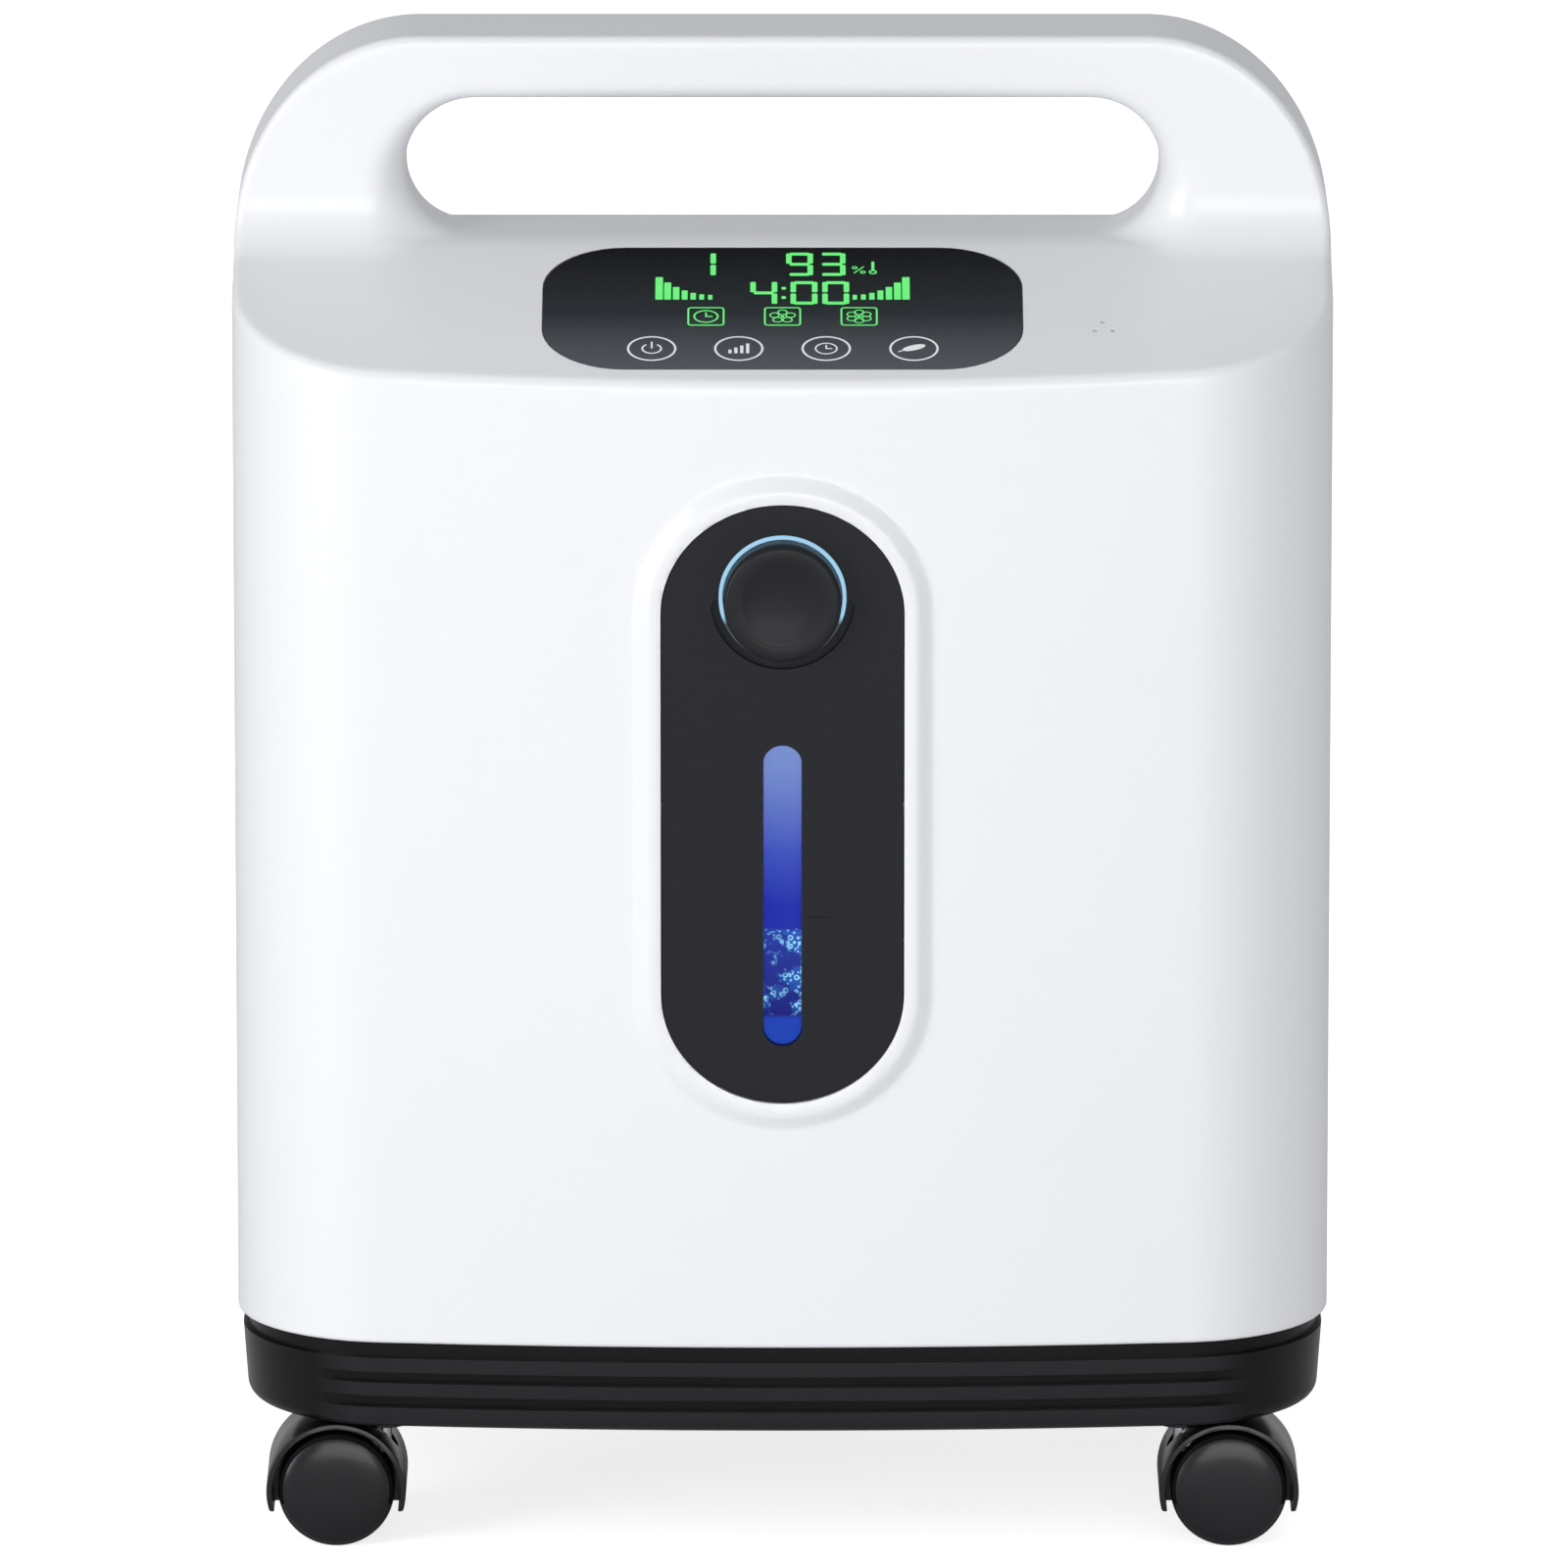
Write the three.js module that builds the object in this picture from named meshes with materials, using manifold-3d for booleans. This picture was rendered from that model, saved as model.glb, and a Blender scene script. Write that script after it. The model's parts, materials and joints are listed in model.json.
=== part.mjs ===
// An oxygen concentrator on four twin-wheel casters. Millimetres, +Z up, +X to the right of someone
// facing the display, -Y towards them. The origin is on the floor, under the middle of the object.
import * as THREE from "three";
import { mergeVertices } from "three/addons/utils/BufferGeometryUtils.js";
import Module from "manifold-3d";

const wasm = await Module();
wasm.setup();

// Housing
const halfWidth = 187.5;
const frontY = -117.5;
const rearY = 127.5;
const bowRadius = 1350; // the gentle bow of the front and rear faces, seen from above
const cornerRadius = 55;
const skirtZ = 77; // where the white shells end and the black tray begins
const topZ = 514.5;
const wall = 2.8;
const gap = 0.3; // clearance between pieces that touch

// Sloping deck and carrying handle
const deckFrontZ = 413.5;
const deckSlope = THREE.MathUtils.degToRad(18);
const handleHalfDepth = 23;
const deckTopY = -28; // where the deck starts to turn up into the handle
const deckTopZ = deckFrontZ + (deckTopY - frontY) * Math.tan(deckSlope);
const rearDeckZ = deckTopZ - (rearY + deckTopY) * Math.tan(deckSlope);
const rootCurveZ = deckTopZ + 12; // top of the curve between the deck and the handle
const handleCornerX = 63;
const handleCornerZ = 72;
const slot = { halfWidth: 129, low: 444.5, high: 492.7 };

// Oval fascia with the outlet cap and the sight window
const fascia = { halfWidth: 41.1, low: 164, high: 372, endHeight: 38, face: -119.3, back: -115.3 };
const rimWidth = 4;
const rimFace = -121;
const outletZ = 339.6;
const ringRadius = { inner: 20.4, outer: 21.6 };
const capRadius = 20;
const capFace = -128.5;
const plugRadius = 11;
const pocketRadius = 24.5;
const sight = { halfWidth: 6.7, low: 183.7, high: 288.6 };

// Display, on the deck
const panel = { width: 163, length: 84, corner: 28, thickness: 1.6, fromFront: 51.85 };

// Side intake
const intake = { halfLength: 55, low: 82, split: 103, high: 128 };

// Rear panel
const fan = { z: 216, halfSize: 46, front: 96, thickness: 25 };
const grilleHalf = 50;
const inlet = { x: 105, z: 112, halfWidth: 25, halfHeight: 34 };

// Tray
const trayFloorZ = 46;
const trayFloor = 3.5;
const trayInset = 1.8;
const ribHalfLength = 148;
const trayGrooves = [
  [53.6, 57.7],
  [62.5, 66.3],
  [71.4, 78],
];
const grooveDepth = 1.5;

// Casters
const wheelRadius = 20;
const wheelInner = 5; // inner face of each wheel, from the middle of the caster
const wheelOuter = 19.3;
const trail = 16; // axle behind the swivel axis
const hoodRadius = 24;
const hoodInner = 22.2;
const hoodTop = 44;
const stemX = 137.3;
const casterY = { front: -75, rear: 85 };

// Compressor and sieves
const crankZ = 128;
const canister = { x: 139, y: 42, radius: 29, low: 52.1, high: 290 };
const shelfZ = 350;
const tank = { halfWidth: 36, front: -113.5, back: -66, low: 172, high: 374, wall: 2.2 };

// ---- helpers -------------------------------------------------------------------------------------

function toSolid(geometry) {
  const bare = geometry.index ? geometry.toNonIndexed() : geometry.clone();
  bare.deleteAttribute("normal");
  bare.deleteAttribute("uv");
  const merged = mergeVertices(bare, 1e-4);
  const vertProperties = merged.attributes.position.array;
  const triVerts = new Uint32Array(merged.index.array);
  return new wasm.Manifold(new wasm.Mesh({ numProp: 3, vertProperties, triVerts }));
}

function toGeometry(solid) {
  const mesh = solid.getMesh();
  const geometry = new THREE.BufferGeometry();
  geometry.setAttribute("position", new THREE.BufferAttribute(mesh.vertProperties, 3));
  geometry.setIndex(new THREE.BufferAttribute(mesh.triVerts, 1));
  return geometry;
}

function combine(operation, first, others) {
  let solid = toSolid(first);
  for (const other of others) {
    solid = solid[operation](toSolid(other));
  }
  return toGeometry(solid);
}

const join = (first, ...others) => combine("add", first, others);
const cut = (first, ...others) => combine("subtract", first, others);
const keep = (first, ...others) => combine("intersect", first, others);

// A box from its lowest to its highest corner.
function block(low, high) {
  const size = high.map((value, axis) => value - low[axis]);
  const middle = high.map((value, axis) => (value + low[axis]) / 2);
  return new THREE.BoxGeometry(...size).translate(...middle);
}

// A round bar along X, Y or Z, between two places on that axis.
function rod(axis, radius, from, to, centre, sides = 24) {
  const bar = new THREE.CylinderGeometry(radius, radius, to - from, sides);
  const middle = (from + to) / 2;
  const [a, b] = centre;
  if (axis === "x") {
    return bar.rotateZ(-Math.PI / 2).translate(middle, a, b);
  }
  if (axis === "y") {
    return bar.translate(a, middle, b);
  }
  return bar.rotateX(Math.PI / 2).translate(a, b, middle);
}

function tube(axis, outer, inner, from, to, centre, sides = 24) {
  const bore = rod(axis, inner, from - 1, to + 1, centre, sides);
  return cut(rod(axis, outer, from, to, centre, sides), bore);
}

function extrude(shape, depth, curveSegments) {
  return new THREE.ExtrudeGeometry(shape, { depth, bevelEnabled: false, curveSegments });
}

// Prisms whose outline is drawn in the plane that they run square to: XY, XZ and YZ.
function prismZ(shape, low, high, curveSegments = 6) {
  return extrude(shape, high - low, curveSegments).translate(0, 0, low);
}

function prismY(shape, front, back, curveSegments = 6) {
  return extrude(shape, back - front, curveSegments).rotateX(Math.PI / 2).translate(0, back, 0);
}

function prismX(shape, left, right, curveSegments = 6) {
  const alongX = new THREE.Matrix4().makeBasis(
    new THREE.Vector3(0, 1, 0),
    new THREE.Vector3(0, 0, 1),
    new THREE.Vector3(1, 0, 0),
  );
  return extrude(shape, right - left, curveSegments).applyMatrix4(alongX).translate(left, 0, 0);
}

function polygon(points) {
  return new THREE.Shape(points.map(([a, b]) => new THREE.Vector2(a, b)));
}

function roundedRectangle(width, height, radius) {
  const shape = new THREE.Shape();
  const a = width / 2 - radius;
  const b = height / 2 - radius;
  shape.absarc(a, b, radius, 0, Math.PI / 2);
  shape.absarc(-a, b, radius, Math.PI / 2, Math.PI);
  shape.absarc(-a, -b, radius, Math.PI, 1.5 * Math.PI);
  shape.absarc(a, -b, radius, 1.5 * Math.PI, 2 * Math.PI);
  return shape;
}

// An upright slot with round or elliptical ends, between two heights.
function uprightSlot(half, low, high, endHeight = half) {
  const shape = new THREE.Shape();
  shape.absellipse(0, high - endHeight, half, endHeight, 0, Math.PI);
  shape.absellipse(0, low + endHeight, half, endHeight, Math.PI, 2 * Math.PI);
  return shape;
}

function revolve(profile, sides = 24) {
  return new THREE.LatheGeometry(profile.map(([r, y]) => new THREE.Vector2(r, y)), sides);
}

const model = new THREE.Group();

function piece(name, geometry, look, parent = model) {
  const mesh = new THREE.Mesh(geometry, new THREE.MeshStandardMaterial(look));
  mesh.name = name;
  parent.add(mesh);
  return mesh;
}

const whitePlastic = { color: 0xf0f1f5, roughness: 0.35, metalness: 0 };
const blackPlastic = { color: 0x1b1c1f, roughness: 0.45, metalness: 0 };
const glossBlack = { color: 0x17181b, roughness: 0.15, metalness: 0 };
const castAluminium = { color: 0xa9adb2, roughness: 0.5, metalness: 0.9 };
const steel = { color: 0xc4c7ca, roughness: 0.3, metalness: 1 };
const blackRubber = { color: 0x202022, roughness: 0.8, metalness: 0 };
const clearPlastic = { color: 0xdfe8f2, roughness: 0.1, metalness: 0, transparent: true, opacity: 0.4 };

// ---- housing -------------------------------------------------------------------------------------

// The plan outline, drawn in by an inset: bowed faces that run smoothly into round corners.
function planOutline(inset) {
  const radius = cornerRadius - inset;
  const bow = bowRadius - inset;
  const cornerX = halfWidth - cornerRadius;
  const drop = Math.sqrt((bowRadius - cornerRadius) ** 2 - cornerX ** 2);
  const turn = Math.asin(cornerX / (bowRadius - cornerRadius));
  const frontCentre = frontY + bowRadius;
  const rearCentre = rearY - bowRadius;
  const frontCorner = frontCentre - drop;
  const rearCorner = rearCentre + drop;
  const quarter = Math.PI / 2;
  const shape = new THREE.Shape();
  shape.absarc(0, frontCentre, bow, -quarter - turn, -quarter + turn);
  shape.absarc(cornerX, frontCorner, radius, -quarter + turn, 0);
  shape.absarc(cornerX, rearCorner, radius, 0, quarter - turn);
  shape.absarc(0, rearCentre, bow, quarter - turn, quarter + turn);
  shape.absarc(-cornerX, rearCorner, radius, quarter + turn, Math.PI);
  shape.absarc(-cornerX, frontCorner, radius, Math.PI, 1.5 * Math.PI - turn);
  return shape;
}

// The side profile: both decks rise to the handle, and each turns up into it on a curve.
function sideProfile(inset, low) {
  const lower = inset / Math.cos(deckSlope);
  const half = handleHalfDepth - inset;
  const shape = new THREE.Shape();
  shape.moveTo(frontY - 1, low);
  shape.lineTo(rearY + 1, low);
  shape.lineTo(rearY + 1, rearDeckZ - lower - Math.tan(deckSlope));
  shape.lineTo(-deckTopY, deckTopZ - lower);
  shape.quadraticCurveTo(half, deckTopZ - lower, half, rootCurveZ - lower);
  shape.lineTo(half, topZ - inset);
  shape.lineTo(-half, topZ - inset);
  shape.lineTo(-half, rootCurveZ - lower);
  shape.quadraticCurveTo(-half, deckTopZ - lower, deckTopY, deckTopZ - lower);
  shape.lineTo(frontY - 1, deckFrontZ - lower - Math.tan(deckSlope));
  return shape;
}

// The front silhouette: straight sides with elliptical shoulders on the handle.
function frontSilhouette(inset, low) {
  const side = halfWidth - inset;
  const a = handleCornerX - inset;
  const b = handleCornerZ - inset;
  const shape = new THREE.Shape();
  shape.moveTo(-side, low);
  shape.lineTo(side, low);
  shape.absellipse(side - a, topZ - inset - b, a, b, 0, Math.PI / 2);
  shape.absellipse(-side + a, topZ - inset - b, a, b, Math.PI / 2, Math.PI);
  return shape;
}

function handSlot(grow) {
  const radius = (slot.high - slot.low) / 2;
  const middle = (slot.high + slot.low) / 2;
  const x = slot.halfWidth - radius;
  const shape = new THREE.Shape();
  shape.absarc(x, middle, radius + grow, -Math.PI / 2, Math.PI / 2);
  shape.absarc(-x, middle, radius + grow, Math.PI / 2, 1.5 * Math.PI);
  return prismY(shape, -60, 60, 8);
}

function envelope(inset, low) {
  const plan = prismZ(planOutline(inset), low, topZ + 1, 4);
  const side = prismX(sideProfile(inset, low), -halfWidth - 1, halfWidth + 1, 4);
  const front = prismY(frontSilhouette(inset, low), frontY - 1, rearY + 1, 5);
  return keep(plan, side, front);
}

const fasciaShape = (grow) =>
  uprightSlot(
    fascia.halfWidth + grow,
    fascia.low - grow,
    fascia.high + grow,
    fascia.endHeight + grow,
  );

// Puts a shape that is drawn flat about the middle of the display onto the deck.
function ontoDeck(geometry, along = panel.fromFront, x = 0) {
  const y = frontY + along * Math.cos(deckSlope);
  const z = deckFrontZ + along * Math.sin(deckSlope);
  return geometry.rotateX(deckSlope).translate(x, y, z);
}

const panelPrism = (grow, low, high) =>
  ontoDeck(
    prismZ(
      roundedRectangle(panel.width + 2 * grow, panel.length + 2 * grow, panel.corner + grow),
      low,
      high,
      4,
    ),
  );

function emptyHousing() {
  const hollow = cut(envelope(wall, skirtZ - 5), handSlot(wall));
  return cut(envelope(0, skirtZ), hollow, handSlot(0));
}

function intakeWindow() {
  const low = [halfWidth - 12, -intake.halfLength, intake.low];
  return block(low, [halfWidth + 1, intake.halfLength, intake.high]);
}

const housing = emptyHousing();

function frontShell() {
  const half = keep(housing, block([-200, -200, 0], [200, -gap / 2, 600]));
  const rim = prismY(fasciaShape(rimWidth), rimFace, frontY + 1.5, 8);
  const opening = prismY(fasciaShape(gap), rimFace - 1, frontY + 8, 8);
  const recess = panelPrism(gap, -panel.thickness - gap, 5);
  const cableHole = ontoDeck(block([-20, -8, -10], [20, 8, 5]));
  const holes = [[0, 42.1], [-2.7, 36.3], [3.3, 36.3]].map(([x, along]) =>
    ontoDeck(rod("z", 1, -8, 5, [0, 0], 8), along, 108.7 + x),
  );
  return cut(join(half, rim), opening, recess, cableHole, intakeWindow(), ...holes);
}

function rearShell() {
  const half = keep(housing, block([-200, gap / 2, 0], [200, 200, 600]));
  const low = [-grilleHalf - gap, rearY - 8, fan.z - grilleHalf - gap];
  const exhaust = block(low, [grilleHalf + gap, rearY + 1, fan.z + grilleHalf + gap]);
  const side = inlet.halfWidth + gap;
  const up = inlet.halfHeight + gap;
  const power = block(
    [inlet.x - side, rearY - 16, inlet.z - up],
    [inlet.x + side, rearY + 1, inlet.z + up],
  );
  return cut(half, exhaust, power, intakeWindow());
}

piece("front_shell", frontShell(), whitePlastic);
piece("rear_shell", rearShell(), whitePlastic);

// The tray: a shallow tub with ribbed front and rear faces and a socket for each caster's stem.
function baseTray() {
  const bottomEdge = 6;
  const shape = planOutline(trayInset + bottomEdge);
  const rounded = new THREE.ExtrudeGeometry(shape, {
    depth: skirtZ,
    bevelSize: bottomEdge,
    bevelThickness: bottomEdge,
    bevelSegments: 2,
    curveSegments: 4,
  }).translate(0, 0, trayFloorZ + bottomEdge);
  const trimmed = keep(rounded, block([-200, -200, 0], [200, 200, skirtZ - gap]));
  const hollow = prismZ(planOutline(trayInset + 4.5), trayFloorZ + trayFloor, skirtZ + 1, 4);
  const grooves = [];
  for (const [low, high] of trayGrooves) {
    const ring = cut(
      prismZ(planOutline(-2), low, high, 4),
      prismZ(planOutline(trayInset + grooveDepth), low - 1, high + 1, 4),
    );
    const span = join(
      block([-ribHalfLength, -200, 0], [ribHalfLength, -95, 100]),
      block([-ribHalfLength, 105, 0], [ribHalfLength, 200, 100]),
    );
    grooves.push(keep(ring, span));
  }
  let tray = cut(trimmed, hollow, ...grooves);
  for (const x of [-stemX, stemX]) {
    for (const y of [casterY.front, casterY.rear]) {
      tray = join(tray, rod("z", 9, trayFloorZ + 1, 72, [x, y], 12));
      tray = cut(tray, rod("z", 5 + gap, trayFloorZ - 1, 70 + gap, [x, y], 12));
    }
  }
  return tray;
}

piece("base_tray", baseTray(), blackPlastic);

// ---- front fascia, outlet cap and sight window ---------------------------------------------------

function frontFascia() {
  const plate = prismY(fasciaShape(0), fascia.face, fascia.back, 8);
  const hole = rod("y", ringRadius.outer + gap, -140, -100, [0, outletZ], 32);
  const pocketDisc = rod("y", pocketRadius, fascia.face - 1, fascia.face + 1.5, [0, outletZ], 32);
  const pocket = keep(pocketDisc, block([-30, -140, outletZ - 30], [30, -100, outletZ]));
  const windowHole = prismY(uprightSlot(sight.halfWidth, sight.low, sight.high), -140, -100);
  return cut(plate, hole, pocket, windowHole);
}

function outletCap() {
  const dishRadius = 15;
  const back = fascia.face - 0.2;
  const profile = [
    [0, back],
    [capRadius - 1, back],
    [capRadius, back - 1],
    [capRadius, capFace + 2],
    [capRadius - 2, capFace],
    [dishRadius, capFace],
    [dishRadius * 0.7, capFace + 2.2],
    [0, capFace + 3],
  ];
  return revolve(profile.reverse(), 32).translate(0, 0, outletZ);
}

piece("front_fascia", frontFascia(), blackPlastic);
piece(
  "outlet_light_ring",
  tube("y", ringRadius.outer, ringRadius.inner, fascia.face, fascia.back, [0, outletZ], 32),
  { color: 0x7cc0f0, roughness: 0.3, metalness: 0, emissive: 0x3f9ee0 },
);
piece("outlet_cap", outletCap(), blackPlastic);
piece("cap_plug", tube("y", plugRadius, 6, -119.2, -104, [0, outletZ]), blackPlastic);
piece("cap_seal", tube("y", 16.2, plugRadius + gap, -110, -107, [0, outletZ]), blackRubber);
const windowSlot = uprightSlot(sight.halfWidth - gap, sight.low + gap, sight.high - gap);
piece("sight_window", prismY(windowSlot, fascia.face + 2, fascia.back), {
  color: 0x3a55c8,
  roughness: 0.1,
  metalness: 0,
  transparent: true,
  opacity: 0.6,
});

// ---- display -------------------------------------------------------------------------------------

piece("display_panel", panelPrism(0, -panel.thickness, 0), glossBlack);

function displayBoard() {
  const board = block([-70, -30, -9], [70, 30, -7.4]);
  const connector = block([-14, -6, -7.5], [14, 6, -panel.thickness - 2 * gap]);
  return ontoDeck(join(board, connector));
}

piece("display_board", displayBoard(), { color: 0x1f5a36, roughness: 0.6, metalness: 0 });

// ---- side intake ---------------------------------------------------------------------------------

function sideGrille() {
  const face = halfWidth - 1.5;
  const low = [face - 3, -intake.halfLength + gap, intake.split];
  let grille = block(low, [face, intake.halfLength - gap, intake.high - gap]);
  const slats = 5;
  for (let i = 0; i < slats; i += 1) {
    const z = intake.split + 3.5 + i * 4.2;
    const slit = block([-6, -intake.halfLength + 6, -1.1], [6, intake.halfLength - 6, 1.1]);
    grille = cut(grille, slit.rotateY(0.6).translate(face - 1.5, 0, z));
  }
  return grille;
}

function filterCover() {
  const low = [halfWidth - 5, -intake.halfLength + gap, intake.low + gap];
  const high = [halfWidth - 0.5, intake.halfLength - gap, intake.split - gap];
  const finger = rod("y", 5, -14, 14, [halfWidth + 2, intake.low + 8], 12);
  return cut(block(low, high), finger);
}

const filterLow = [halfWidth - 15, -intake.halfLength + 2, intake.low + 2];
const filterHigh = [halfWidth - 5 - gap, intake.halfLength - 2, intake.split - 2];
piece("side_grille", sideGrille(), whitePlastic);
piece("filter_cover", filterCover(), blackPlastic);
piece("intake_filter", block(filterLow, filterHigh), { color: 0x3b3d40, roughness: 0.95, metalness: 0 });

// ---- rear ----------------------------------------------------------------------------------------

function exhaustGrille() {
  const low = [-grilleHalf, rearY - 4, fan.z - grilleHalf];
  let grille = block(low, [grilleHalf, rearY + 1, fan.z + grilleHalf]);
  const bars = 9;
  for (let i = 0; i < bars; i += 1) {
    const z = fan.z + (i - (bars - 1) / 2) * 9.6;
    grille = cut(grille, block([-43, rearY - 6, z - 2.6], [43, rearY + 3, z + 2.6]));
  }
  return grille;
}

// One module: a three-pin inlet below and the opening for a rocker switch above.
const socket = { z: inlet.z - 14, halfWidth: 12.2, halfHeight: 8.5, depth: 19 };
const rocker = { z: inlet.z + 17, halfWidth: 6.5, halfHeight: 10 };

function mainsInlet() {
  const back = rearY - 26;
  const flange = block(
    [inlet.x - inlet.halfWidth, rearY - 8, inlet.z - inlet.halfHeight],
    [inlet.x + inlet.halfWidth, rearY - 3, inlet.z + inlet.halfHeight],
  );
  const body = block([inlet.x - 15, back, inlet.z - 26], [inlet.x + 15, rearY - 5, inlet.z + 30]);
  const mouth = block(
    [inlet.x - socket.halfWidth, rearY - 3 - socket.depth, socket.z - socket.halfHeight],
    [inlet.x + socket.halfWidth, rearY, socket.z + socket.halfHeight],
  );
  const rockerWell = block(
    [inlet.x - rocker.halfWidth - gap, rearY - 16, rocker.z - rocker.halfHeight - 0.8],
    [inlet.x + rocker.halfWidth + gap, rearY, rocker.z + rocker.halfHeight + 0.8],
  );
  let module = cut(join(flange, body), mouth, rockerWell);
  for (const [x, z] of [[-7, -2], [7, -2], [0, 3]]) {
    const low = [inlet.x + x - 1, back + 1, socket.z + z - 2];
    module = join(module, block(low, [inlet.x + x + 1, rearY - 9.5, socket.z + z + 2]));
  }
  return module;
}

// A shallow V in side view, pivoted near its back. At rest its upper half is pressed in.
const rockerTilt = THREE.MathUtils.degToRad(7);
const rockerPivotY = rearY - 8;

function powerSwitch() {
  const h = rocker.halfHeight;
  const lift = h * Math.tan(rockerTilt);
  const profile = polygon([
    [-3, -h + 1],
    [-3, h - 1],
    [2.4 + lift, h - 0.6],
    [2.4, 0],
    [2.4 + lift, -h + 0.6],
  ].reverse());
  const body = prismX(profile, -rocker.halfWidth, rocker.halfWidth);
  return body.rotateX(rockerTilt).translate(inlet.x, rockerPivotY, rocker.z);
}

piece("exhaust_grille", exhaustGrille(), blackPlastic);
piece("mains_inlet", mainsInlet(), blackPlastic);
piece("power_switch", powerSwitch(), blackPlastic);

// ---- compressor ----------------------------------------------------------------------------------

const plateTop = trayFloorZ + trayFloor + gap + 2;
const mountTop = 76;

function chassisPlate() {
  const outline = roundedRectangle(300, 190, 20);
  let plate = prismZ(outline, plateTop - 2, plateTop, 3).translate(0, 5, 0);
  for (const x of [-stemX, stemX]) {
    for (const y of [casterY.front, casterY.rear]) {
      plate = cut(plate, rod("z", 13, plateTop - 5, plateTop + 5, [x, y], 12));
    }
  }
  return plate;
}

piece("chassis_plate", chassisPlate(), steel);
for (const [i, [x, y]] of [[-44, -28], [44, -28], [-44, 52], [44, 52]].entries()) {
  const waist = [
    [0, plateTop + gap],
    [9, plateTop + gap],
    [6.5, (plateTop + mountTop) / 2],
    [9, mountTop - gap],
    [0, mountTop - gap],
  ];
  const mount = revolve(waist, 12).rotateX(Math.PI / 2).translate(x, y, 0);
  piece(`compressor_mount_${i + 1}`, mount, blackRubber);
}

function crankcase() {
  const box = block([-52, -42, mountTop], [52, 36, crankZ + 46]);
  const motor = rod("y", 44, 34, 76, [0, crankZ], 24);
  const foot = block([-52, 30, mountTop], [52, 62, mountTop + 14]);
  const bore = rod("y", 6, -60, 90, [0, crankZ], 16);
  let casting = cut(join(box, motor, foot), bore);
  for (const z of [crankZ - 34, crankZ + 34]) {
    casting = cut(casting, block([-30, -43, z - 2], [30, -38, z + 2]));
  }
  return casting;
}

function cylinderHead(side) {
  const middle = [-3, crankZ];
  const barrel = rod("x", 30, 52 + gap, 84, middle, 16);
  const cap = block([80, -37, crankZ - 34], [98, 31, crankZ + 34]);
  const fins = [];
  for (const x of [58, 65, 72]) {
    fins.push(rod("x", 36, x, x + 2.5, middle, 16));
  }
  const port = rod("z", 5, crankZ + 30, crankZ + 42, [90, -3], 10);
  const head = join(barrel, cap, port, ...fins);
  return side > 0 ? head : head.rotateZ(Math.PI).translate(0, -6, 0);
}

function crankshaft() {
  const shaft = rod("y", 5.5, -52, 84, [0, crankZ], 16);
  const blades = [];
  for (let i = 0; i < 6; i += 1) {
    const blade = block([-5, -51, 8], [5, -48.5, 34]).rotateY((i * Math.PI) / 3);
    blades.push(blade.translate(0, 0, crankZ));
  }
  const hub = rod("y", 12, -52, -46, [0, crankZ], 16);
  return join(shaft, hub, ...blades);
}

piece("compressor_crankcase", crankcase(), castAluminium);
piece("compressor_head_right", cylinderHead(1), castAluminium);
piece("compressor_head_left", cylinderHead(-1), castAluminium);
piece("crankshaft", crankshaft(), steel);

// ---- oxygen circuit ------------------------------------------------------------------------------

for (const [name, side] of [["left", -1], ["right", 1]]) {
  const centre = [side * canister.x, canister.y];
  const body = rod("z", canister.radius, canister.low, canister.high, centre);
  const foot = rod("z", canister.radius + 2, canister.low, canister.low + 8, centre);
  const head = rod("z", canister.radius + 2, canister.high - 8, canister.high, centre);
  piece(`sieve_canister_${name}`, join(body, foot, head), castAluminium);
}

// The manifold lies across both canisters and carries the two switching valves.
function valveManifold() {
  const bar = block([-165, 26, canister.high + gap], [165, 58, canister.high + 26]);
  const coils = [];
  for (const x of [-60, 60]) {
    coils.push(block([x - 14, 28, canister.high + 25], [x + 14, 56, shelfZ - gap]));
  }
  return join(bar, ...coils);
}

function bufferTank() {
  const profile = [
    [0, plateTop + gap],
    [22, plateTop + gap],
    [25, plateTop + 6],
    [25, 214],
    [14, 224],
    [0, 226],
  ];
  return revolve(profile, 20).rotateX(Math.PI / 2).translate(-128, -42, 0);
}

class Helix extends THREE.Curve {
  getPoint(t, target = new THREE.Vector3()) {
    const angle = t * 3 * 2 * Math.PI;
    return target.set(34 * Math.cos(angle), 62 + 28 * t, fan.z + 6 + 34 * Math.sin(angle));
  }
}

function coolingCoil() {
  const ring = new THREE.Shape();
  ring.absarc(0, 0, 3, 0, 2 * Math.PI);
  const path = { steps: 42, extrudePath: new Helix(), curveSegments: 3 };
  return new THREE.ExtrudeGeometry(ring, path);
}

function intakeSilencer() {
  const drum = rod("z", 22, 140, 214, [136, -40], 20);
  const spout = rod("z", 7, 212, 226, [136, -40], 12);
  const stand = rod("z", 8, plateTop + gap, 142, [136, -40], 12);
  return join(drum, spout, stand);
}

piece("valve_manifold", valveManifold(), castAluminium);
piece("buffer_tank", bufferTank(), castAluminium);
piece("cooling_coil", coolingCoil(), { color: 0xb87946, roughness: 0.35, metalness: 1 });
piece("intake_silencer", intakeSilencer(), blackPlastic);

// ---- cooling fan ---------------------------------------------------------------------------------

const fanBack = fan.front + fan.thickness;

function fanFrame() {
  const low = [-fan.halfSize, fan.front, fan.z - fan.halfSize];
  const frame = block(low, [fan.halfSize, fanBack, fan.z + fan.halfSize]);
  const duct = rod("y", 43, fan.front - 1, fanBack + 1, [0, fan.z], 28);
  const struts = [];
  for (let i = 0; i < 2; i += 1) {
    const strut = block([-44, fan.front, -2], [44, fan.front + 3, 2]);
    struts.push(strut.rotateY(((2 * i + 1) * Math.PI) / 4).translate(0, 0, fan.z));
  }
  const boss = rod("y", 16, fan.front, fan.front + 4, [0, fan.z], 20);
  return join(cut(frame, duct), boss, ...struts);
}

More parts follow.
